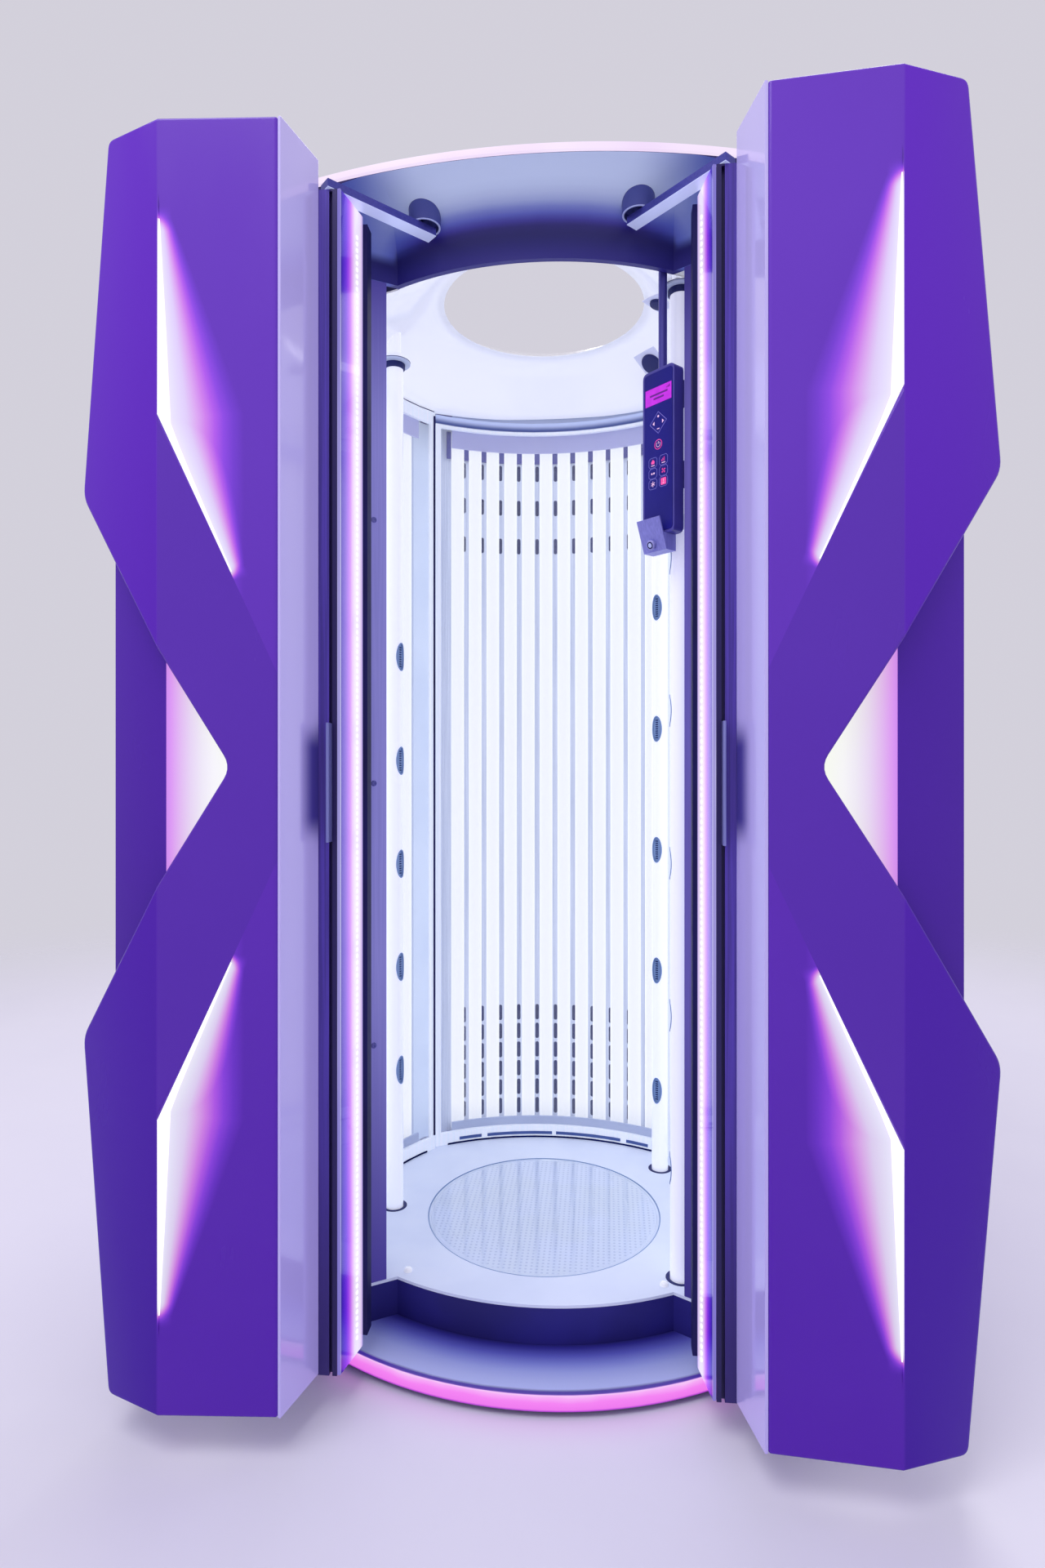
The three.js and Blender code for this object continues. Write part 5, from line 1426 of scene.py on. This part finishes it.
@dataclass
class Cabin:
    """Jambs, outer shells, canopy, ceiling, roof and what lies inside them."""

    screw_heights: tuple[float, ...] = (1.725, 1.172, 0.622)
    screw_place: Point = (0.334, -0.3353)
    jamb_angle: float = math.radians(31.76)
    screw_radius: float = 0.0062
    corner: tuple[Point, Point] = ((0.400, 0.340), (0.358, 0.391))
    corner_heights: Point = (0.13, 2.205)
    gasket: tuple[Point, Point] = ((0.3302, 0.3045), (0.3348, 0.3105))
    gasket_heights: Point = (0.165, 2.20)

    def build(self) -> None:
        """Makes every piece."""
        for side in Side:
            skin(f"{side.label}_jamb", JAMB if side is Side.LEFT else JAMB_SHADE, 0.001)
            skin(f"{side.label}_shell", SHELL, 0.0012)
            self.screws(side)
            self.corner_strip(side)
        skin("back_shell", SHELL, 0.0012)
        skin("canopy", CANOPY, 0.0012)
        skin("canopy_light_strip", RIM_LIGHT, 0.0012)
        skin("ceiling_ring", PEARL, 0.0008)
        skin("roof_cover", ROOF, 0.003)
        skin("mains_gland", RUBBER, 0.0008)
        skin("fan_housing", CASE, 0.0)
        skin("fan_rotor", CASE, 0.0)
        dress("ballast_rack", STEEL)
        self.ceiling_stop("rear_ceiling_stop", Vector((0.274, 0.2125, 2.2805)), Vector((-0.471, -0.381, -0.796)),
                          0.054, 0.0285)
        self.ceiling_stop("front_ceiling_stop", Vector((0.277, -0.017, 2.3195)), Vector((-0.233, 0.0, -0.972)),
                          0.040, 0.0205)

    def corner_strip(self, side: Side) -> None:
        """Pale sheet that closes the corner between the reflectors of the back and a side."""
        (ax, ay), (bx, by) = self.corner
        out = Vector((by - ay, ax - bx, 0.0)).normalized() * 0.002
        plan = [Vector((ax, ay, 0)), Vector((bx, by, 0)), Vector((bx, by, 0)) + out, Vector((ax, ay, 0)) + out]
        low, high = (Vector((0, 0, z)) for z in self.corner_heights)
        shape = Shape()
        shape.slab([Vector((side.value * p.x, p.y, p.z)) + low for p in plan], high - low)
        shape.finish(f"{side.label}_corner_strip", "cabin", "aluminium", CORNER)
        gasket = Shape()
        (ax, ay), (bx, by) = self.gasket
        low, high = self.gasket_heights
        gasket.block(Vector((min(side.value * ax, side.value * bx), ay, low)),
                     Vector((max(side.value * ax, side.value * bx), by, high)))
        gasket.soften(0.0008)
        gasket.finish(f"{side.label}_frame_gasket", "cabin", "rubber", RUBBER)

    def ceiling_stop(self, name: str, middle: Vector, out: Vector, half: float, r: float) -> None:
        """Square plate with a round rubber stop on the slope of the ceiling.

        Args:
            name: Name of the stop.
            middle: Place on the ceiling.
            out: Direction in which the ceiling faces there.
            half: Half the plate's diagonal.
            r: Radius of the stop.
        """
        out = out.normalized()
        across = out.cross(Vector((0.0, 0.921, -0.389))).normalized()
        lay = Matrix((across, out.cross(across), out)).transposed()
        corners = (across * half, lay.col[1] * half, across * -half, lay.col[1] * -half)
        plate = Shape()
        plate.slab([middle + out * 0.0012 + d for d in corners], out * 0.002)
        plate.soften(0.0006)
        plate.finish(f"{name}_plate", "cabin", "white_satin", STOP_PLATE)
        knob = Shape()
        knob.turned([(r, 0.0), (r, 0.004), (r * 0.92, 0.007), (r * 0.5, 0.0088), (0.0, 0.0092)],
                    middle + out * 0.003, 32, lay)
        knob.finish(name, "cabin", "rubber", DARK_RUBBER_AND_SHADOW)

    def screws(self, side: Side) -> None:
        """Countersunk screws down the jamb."""
        x, y = self.screw_place
        front = Vector((side.value * math.sin(self.jamb_angle) * -1, -math.cos(self.jamb_angle), 0.0))
        along = Vector((-front.y, front.x, 0.0))
        lay = Matrix((along, Vector((0, 0, 1)), front)).transposed()
        r = self.screw_radius
        profile = [(r, -0.0008), (r, 0.0006), (r * 0.75, 0.0016), (r * 0.42, 0.0018), (r * 0.4, 0.0002), (0.0, 0.0)]
        shape = Shape()
        for z in self.screw_heights:
            shape.turned(profile, Vector((side.value * x, y, z)), 18, lay)
        shape.finish(f"{side.label}_jamb_screws", "cabin", "aluminium", SCREW)


@dataclass
class ShellTrim:
    """Louvres and screws on the curved outer shells and the roof."""

    screw_heights: tuple[float, ...] = (0.20, 0.61, 1.02, 1.43, 1.84, 2.25)
    screw_radius: float = 0.0066
    back_edges: Point = (55.2, 124.8)
    side_edges: Point = (-30.5, 47.8)
    back_louvres: Point = (72.5, 107.5)
    back_louvre: tuple[float, float, float] = (9.5, 0.24, 0.42)
    side_louvre: tuple[float, float, float] = (9.0, 2.08, 2.22)
    side_louvre_angle: float = 10.0
    slat_pitch: float = 0.018
    roof_top: float = 2.4003
    roof_inset: float = 0.03

    def build(self) -> None:
        """Makes the louvres and screws of every shell."""
        for angle in self.back_louvres:
            self.louvre("back_shell", angle, *self.back_louvre)
        self.louvre("right_shell", self.side_louvre_angle, *self.side_louvre)
        self.louvre("left_shell", 180.0 - self.side_louvre_angle, *self.side_louvre)
        heads = Shape()
        sides = (("back_shell", self.back_edges), ("right_shell", self.side_edges),
                 ("left_shell", tuple(180.0 - a for a in self.side_edges)))
        for node, angles in sides:
            for angle in angles:
                for z in self.screw_heights:
                    place, way = self.spot(node, angle, 1.2)
                    self.head(heads, Vector((place.x, place.y, z)), way)
        for i in range(12):
            place, way = self.spot("roof_cover", 15.0 + 30.0 * i, 2.38)
            inner = place - way * self.roof_inset
            self.head(heads, Vector((inner.x, inner.y, self.roof_top)), Vector((0, 0, 1)))
        heads.finish("shell_screws", "cabin", "steel", SCREW)

    def head(self, shape: Shape, place: Vector, out: Vector) -> None:
        """Adds a domed screw head with a socket."""
        side = Vector((1, 0, 0)) if abs(out.z) > 0.5 else Vector((0, 0, 1))
        across = out.cross(side).normalized()
        lay = Matrix((across, out.cross(across), out)).transposed()
        r = self.screw_radius
        profile = [(r, -0.0008), (r, 0.0008), (r * 0.8, 0.0018), (r * 0.45, 0.0022), (r * 0.42, 0.0006), (0.0, 0.0004)]
        shape.turned(profile, place, 18, lay)

    @staticmethod
    def spot(node: str, angle: float, z: float) -> tuple[Vector, Vector]:
        """Place on the outer face of a node in a direction from the booth's axis.

        Args:
            node: Node of the frame.
            angle: Direction in degrees, from the right.
            z: Height of the place.

        Returns:
            The place and the direction outwards.
        """
        data = frame["nodes"][node].data
        tree = BVHTree.FromPolygons([v.co for v in data.vertices], [p.vertices for p in data.polygons])
        turn = math.radians(angle)
        way = Vector((math.cos(turn), math.sin(turn), 0.0))
        place, normal, _, _ = tree.ray_cast(Vector((0, 0, z)) + way * 2.0, -way)
        return place, normal

    def louvre(self, node: str, angle: float, half: float, low: float, high: float) -> None:
        """Louvred vent bent to a shell, with a frame and a dark back of painted shade behind the slats.

        Args:
            node: Shell that carries it.
            angle: Direction of its middle, in degrees.
            half: Half its width, in degrees.
            low: Its lower edge.
            high: Its upper edge.
        """
        spots = [self.spot(node, angle + half * (i / 8 - 1), 1.2) for i in range(17)]
        frame_bars = Shape()
        slats = Shape()
        dark = Shape()
        bar = 0.011
        for bottom in (low, high - bar):
            self.bend(frame_bars, spots, [(bottom, 0.0), (bottom, 0.0036), (bottom + bar, 0.0036), (bottom + bar, 0.0)])
        for ends in (spots[:2], spots[-2:]):
            self.bend(frame_bars, ends, [(low, 0.0), (low, 0.0036), (high, 0.0036), (high, 0.0)])
        room = high - low - 2 * bar - 0.004
        count = round(room / self.slat_pitch)
        for i in range(count):
            z = low + bar + 0.002 + i * room / count
            lip = z + 0.65 * room / count
            self.bend(slats, spots[1:-1], [(z, 0.0004), (z, 0.0034), (z + 0.0012, 0.0036), (lip, 0.0012), (lip, 0.0004)])
        # Dark back: painted shade behind the slats.
        self.bend(dark, spots, [(low + 0.002, 0.0), (low + 0.002, 0.0009), (high - 0.002, 0.0009), (high - 0.002, 0.0)])
        name = f"{node}_louvre_{round(angle)}"
        frame_bars.finish(f"{name}_frame", "cabin", "white_gloss", SHELL)
        slats.finish(f"{name}_slats", "cabin", "white_gloss", SHELL)
        dark.finish(f"{name}_back", "cabin", "dark_plastic", SLOT)

    @staticmethod
    def bend(shape: Shape, spots: list[tuple[Vector, Vector]], section: list[Point]) -> None:
        """Runs a section of (height, proud) points along places on a shell."""
        shape.loft([[Vector((p.x, p.y, z)) + out * proud for z, proud in section] for p, out in spots])


@dataclass
class ControlUnit:
    """Hanging control unit with its display, keys and stop button."""

    rod: Point = (0.269, -0.2917)
    turn: float = math.radians(-45.0)
    lean: float = math.radians(20.0)
    face: float = -0.0145
    lift: float = 0.0004
    pad: Point = (0.001, 1.920)
    power: Point = (0.001, 1.8746)
    key_rows: tuple[float, ...] = (1.8395, 1.8172, 1.7952)
    key_columns: Point = (-0.0136, 0.0152)
    key_size: Point = (0.0222, 0.0205)
    clamp: tuple[float, float] = (1.702, 1.736)
    column: Point = (0.308, -0.256)

    def build(self) -> None:
        """Makes every piece of the unit."""
        skin("control_rod", ROD_METAL, 0.0008)
        skin("control_housing", CASE, 0.003, 3)
        skin("control_panel", KEYPAD, 0.0004)
        skin("control_screen", SCREEN, 0.0)
        skin("stop_bracket", PLATE, 0.0006)
        skin("stop_button", STOP, 0.0008)
        self.keys()
        self.screen_marks()
        self.stop_ring()
        self.column_clamp()

    def at(self, x: float, z: float, out: float = 0.0) -> Vector:
        """Place on the front of the unit, in the row frame."""
        spot = Matrix.Rotation(self.turn, 3, "Z") @ Vector((x, self.face - self.lift - out, z))
        return spot + Vector((self.rod[0], self.rod[1], 0.0))

    def stroke(self, shape: Shape, points: list[Point], width: float, closed: bool = False) -> None:
        """Draws a raised line on the front of the unit."""
        if closed:
            points = [*points, points[0]]
        for (ax, az), (bx, bz) in zip(points, points[1:]):
            run = Vector((bx - ax, bz - az))
            side = Vector((-run.y, run.x)).normalized() * width / 2
            corners = [(ax + side.x, az + side.y), (bx + side.x, bz + side.y), (bx - side.x, bz - side.y),
                       (ax - side.x, az - side.y)]
            shape.slab([self.at(x, z) for x, z in corners], self.at(0, 0) - self.at(0, 0, -0.0005))

    def patch(self, shape: Shape, points: list[Point]) -> None:
        """Draws a raised filled shape on the front of the unit."""
        shape.slab([self.at(x, z) for x, z in points], self.at(0, 0) - self.at(0, 0, -0.0005))

    def keys(self) -> None:
        """Direction pad, power mark and six keys with plain signs."""
        lines = Shape()
        signs = Shape()
        marks = Shape()
        reach = 0.0225
        px, pz = self.pad
        self.stroke(lines, [(px, pz + reach), (px + reach, pz), (px, pz - reach), (px - reach, pz)], 0.0008, closed=True)
        for way in (1, -1):
            tip = px + way * 0.0155
            self.patch(marks, [(tip, pz), (tip - way * 0.005, pz + 0.0042), (tip - way * 0.005, pz - 0.0042)][::way])
        self.patch(marks, self.dot(px, pz + 0.0128, 0.0024))
        self.stroke(marks, [(px - 0.0034, pz - 0.0128), (px + 0.0034, pz - 0.0128)], 0.0018)
        cx, cz = self.power
        self.stroke(signs, self.dot(cx, cz, 0.0098), 0.0014, closed=True)
        arc = [(cx + 0.0052 * math.sin(a), cz + 0.0052 * math.cos(a)) for a in
               (math.radians(40 + 28 * i) for i in range(11))]
        self.stroke(marks, arc, 0.0011)
        self.stroke(marks, [(cx, cz + 0.0012), (cx, cz + 0.0066)], 0.0011)
        wide, tall = self.key_size
        for row, z in enumerate(self.key_rows):
            for column, x in enumerate(self.key_columns):
                box = [(x + a, z + b) for a, b in rounded_box(wide, tall, 0.004, 1)]
                self.stroke(lines, box, 0.0006, closed=True)
                self.sign(signs, marks, row * 2 + column, x, z)
        lines.finish("control_key_lines", "cabin", "dark_plastic", ICON_PALE)
        signs.finish("control_key_signs", "cabin", "stop_red", ICON)
        marks.finish("control_key_marks", "cabin", "white_satin", ICON_WHITE)

    @staticmethod
    def dot(x: float, z: float, radius: float) -> list[Point]:
        """Outline of a small round spot."""
        return [(x + radius * math.cos(a), z + radius * math.sin(a)) for a in (math.tau * i / 16 for i in range(16))]

    def sign(self, signs: Shape, marks: Shape, kind: int, x: float, z: float) -> None:
        """Plain sign on one key: flame, stairs, squares, fan, star or gauge, with a level bar on the top row."""
        r = 0.0048
        if kind in (0, 1):
            self.stroke(marks, [(x - r, z - 1.2 * r), (x + r, z - 1.2 * r)], 0.0016)
        if kind == 0:
            self.patch(signs, [(x - 0.8 * r, z - 0.5 * r), (x + 0.8 * r, z - 0.5 * r), (x + r, z + 0.5 * r),
                               (x, z + 1.4 * r), (x - r, z + 0.4 * r)])
        elif kind == 1:
            for i in range(3):
                left = x - r + i * 0.7 * r
                self.stroke(signs, [(left, z - 0.5 * r), (left, z + (0.2 + 0.5 * i) * r)], 0.0015)
        elif kind == 2:
            for side in (-1, 1):
                self.patch(marks, [(x + side * 0.6 * r + a, z + b) for a, b in rounded_box(0.8 * r, 0.8 * r, 0.001, 1)])
        elif kind == 3:
            for i in range(4):
                a = math.pi / 2 * i + 0.4
                blade = [(0.0, 0.0), (1.3 * r * math.cos(a), 1.3 * r * math.sin(a)),
                         (1.1 * r * math.cos(a + 0.7), 1.1 * r * math.sin(a + 0.7))]
                self.patch(signs, [(x + bx, z + bz) for bx, bz in blade])
        elif kind == 4:
            for i in range(3):
                a = math.pi / 3 * i + math.pi / 2
                end = (1.2 * r * math.cos(a), 1.2 * r * math.sin(a))
                self.stroke(marks, [(x - end[0], z - end[1]), (x + end[0], z + end[1])], 0.0013)
        else:
            self.patch(signs, [(x + a, z + b) for a, b in rounded_box(3.0 * r, 3.0 * r, 0.002, 2)])
            self.stroke(marks, [(x, z - 0.2 * r), (x, z + 1.1 * r)], 0.0018)
            self.patch(marks, self.dot(x, z - 0.7 * r, 0.0018))

    def screen_marks(self) -> None:
        """Plain bars and a level gauge on the display."""
        shape = Shape()
        for z, left, right in ((1.9775, -0.022, 0.026), (1.9695, -0.012, 0.016)):
            self.patch(shape, [(left, z), (right, z), (right, z + 0.0038), (left, z + 0.0038)])
        for i in range(3):
            x = 0.0235 + i * 0.0034
            top = 1.9870 + i * 0.0016
            self.patch(shape, [(x, 1.9846), (x + 0.0022, 1.9846), (x + 0.0022, top), (x, top)])
        shape.finish("control_screen_marks", "cabin", "screen", INK)

    def stop_ring(self) -> None:
        """Dark ring and bright middle set in the face of the stop button."""
        facing = Vector((0.0, -math.cos(self.lean), -math.sin(self.lean)))
        out = Matrix.Rotation(self.turn, 3, "Z") @ facing
        across = Vector((-out.y, out.x, 0.0)).normalized()
        lay = Matrix((across, out.cross(across), out)).transposed()
        points = [v.co for v in frame["nodes"]["stop_button"].data.vertices]
        middle = sum(points, Vector()) / len(points)
        top = max((p - middle).dot(out) for p in points)
        shape = Shape()
        shape.ring([(0.0048, -0.0004), (0.0072, -0.0004), (0.0070, 0.0005), (0.0050, 0.0005)], middle + out * top, 32, lay)
        shape.finish("stop_button_ring", "stop", "rubber", RUBBER)
        cap = Shape()
        cap.turned([(0.0046, -0.0004), (0.0046, 0.0004), (0.0038, 0.0008), (0.0, 0.0010)], middle + out * top, 24, lay)
        cap.finish("stop_button_cap", "stop", "aluminium", RIM_METAL)

    def column_clamp(self) -> None:
        """Pale clamp that steadies the unit on the air column behind it."""
        low, high = self.clamp
        x, y = self.column
        shape = Shape()
        shape.ring([(0.0222, low), (0.0236, low), (0.0246, low + 0.001), (0.0246, high - 0.001), (0.0236, high),
                    (0.0222, high)], Vector((x, y, 0.0)), 40)
        back = Matrix.Rotation(self.turn, 3, "Z")
        foot = Vector((self.rod[0], self.rod[1], 0.0))
        corners = [foot + back @ Vector((a, b, low + 0.006)) for a, b in
                   ((-0.009, 0.0152), (0.009, 0.0152), (0.009, 0.0296), (-0.009, 0.0296))]
        shape.slab(corners, Vector((0, 0, high - low - 0.012)))
        shape.finish("control_column_clamp", "cabin", "white_satin", FRAME)


@dataclass
class Studio:
    """Pale floor, soft lights and the camera at the height and turn of the photograph."""

    eye: Vector = field(default_factory=lambda: Vector((0.151, -2.126, 1.205)))
    yaw: float = math.atan2(0.0953, 0.9954)
    focal_pixels: float = 1067.0
    image_height: float = 1920.0
    horizon_pixel: float = 940.0
    sensor: float = 36.0
    pale: Colour = tint("e9e6f2")
    floor_half: float = 9.0

    def build(self) -> None:
        """Makes the floor, the world, the lights and the camera."""
        self.floor()
        self.world()
        self.lamp("key", Vector((-1.6, -3.0, 6.4)), 3.5, 150.0)
        self.lamp("back", Vector((1.2, 3.4, 6.0)), 3.5, 105.0)
        self.camera()

    def floor(self) -> None:
        """Pale floor that fades out into the backdrop."""
        half = self.floor_half
        data = bpy.data.meshes.new("floor")
        data.from_pydata([(-half, -half, 0), (half, -half, 0), (half, half, 0), (-half, half, 0)], [], [(0, 1, 2, 3)])
        floor = bpy.data.objects.new("floor", data)
        bpy.context.scene.collection.objects.link(floor)
        graph = Graph("floor paint")
        x, y, _ = graph.place()
        far = (x * x + y * y).math("SQRT").fade(2.6, 6.0)
        tone = graph.mix(graph.noise(3.0, 3.0), self.pale, tint("e4e1ef"))
        paint = graph.wire("ShaderNodeBsdfPrincipled", None, {"Base Color": tone, "Roughness": 0.45})
        clear = graph.wire("ShaderNodeBsdfTransparent")
        mixed = graph.wire("ShaderNodeMixShader", None, {0: far, 1: paint, 2: clear})
        graph.node("ShaderNodeOutputMaterial", None, {"Surface": mixed})
        data.materials.append(graph.material)

    def world(self) -> None:
        """Even pale light, which is also the tone behind the booth."""
        scene = bpy.context.scene
        scene.world = scene.world or bpy.data.worlds.new("world")
        scene.world.use_nodes = True
        background = scene.world.node_tree.nodes["Background"]
        background.inputs["Color"].default_value = self.pale
        background.inputs["Strength"].default_value = 0.8
        scene.view_settings.view_transform = "Standard"

    def lamp(self, name: str, place: Vector, size: float, power: float) -> None:
        """Adds a large soft light that faces the booth."""
        data = bpy.data.lights.new(name, "AREA")
        data.size = size
        data.energy = power
        light = bpy.data.objects.new(name, data)
        light.location = place
        light.rotation_euler = (Vector((0, -0.2, 1.1)) - place).to_track_quat("-Z", "Y").to_euler()
        bpy.context.scene.collection.objects.link(light)

    def camera(self) -> None:
        """Camera that sees the booth as the photograph does."""
        data = bpy.data.cameras.new("camera")
        data.sensor_fit = "VERTICAL"
        data.sensor_height = self.sensor
        data.lens = self.focal_pixels / self.image_height * self.sensor
        data.shift_y = (self.horizon_pixel - self.image_height / 2) / self.image_height
        camera = bpy.data.objects.new("camera", data)
        camera.location = self.eye
        camera.rotation_euler = (math.pi / 2, 0.0, self.yaw)
        bpy.context.scene.collection.objects.link(camera)
        bpy.context.scene.camera = camera


def main() -> None:
    """Builds the booth and the studio."""
    logging.basicConfig(level=logging.INFO)
    Studio().build()
    Base().build()
    Cabin().build()
    ShellTrim().build()
    LampWall("back", (0.0, -0.188), 0.614, 90.0, frame_finish=BACK_FRAME, rim_seal=(0.0056, 0.0086, 2.195, 2.236),
             foot_slits=((-0.47, -0.36), (-0.33, -0.01), (0.01, 0.33), (0.36, 0.47))).build()
    LampWall("right", (-0.013, 0.002), 0.468, 0.0).build()
    LampWall("left", (0.013, 0.002), 0.468, 180.0).build()
    AirColumn("air_column_left", -0.369, -0.014, (0.463, 0.716, 0.969, 1.222, 1.477), collar=(2.1865, 2.1998)).build()
    AirColumn("air_column_right_rear", 0.296, 0.250, (0.340, 0.662, 0.985, 1.309, 1.634)).build()
    AirColumn("air_column_right_front", 0.308, -0.256, (0.355, 0.679, 1.002, 1.326, 1.650)).build()
    ControlUnit().build()
    for side in Side:
        DoorLeaf(side).build()


if __name__ == "__main__":
    main()
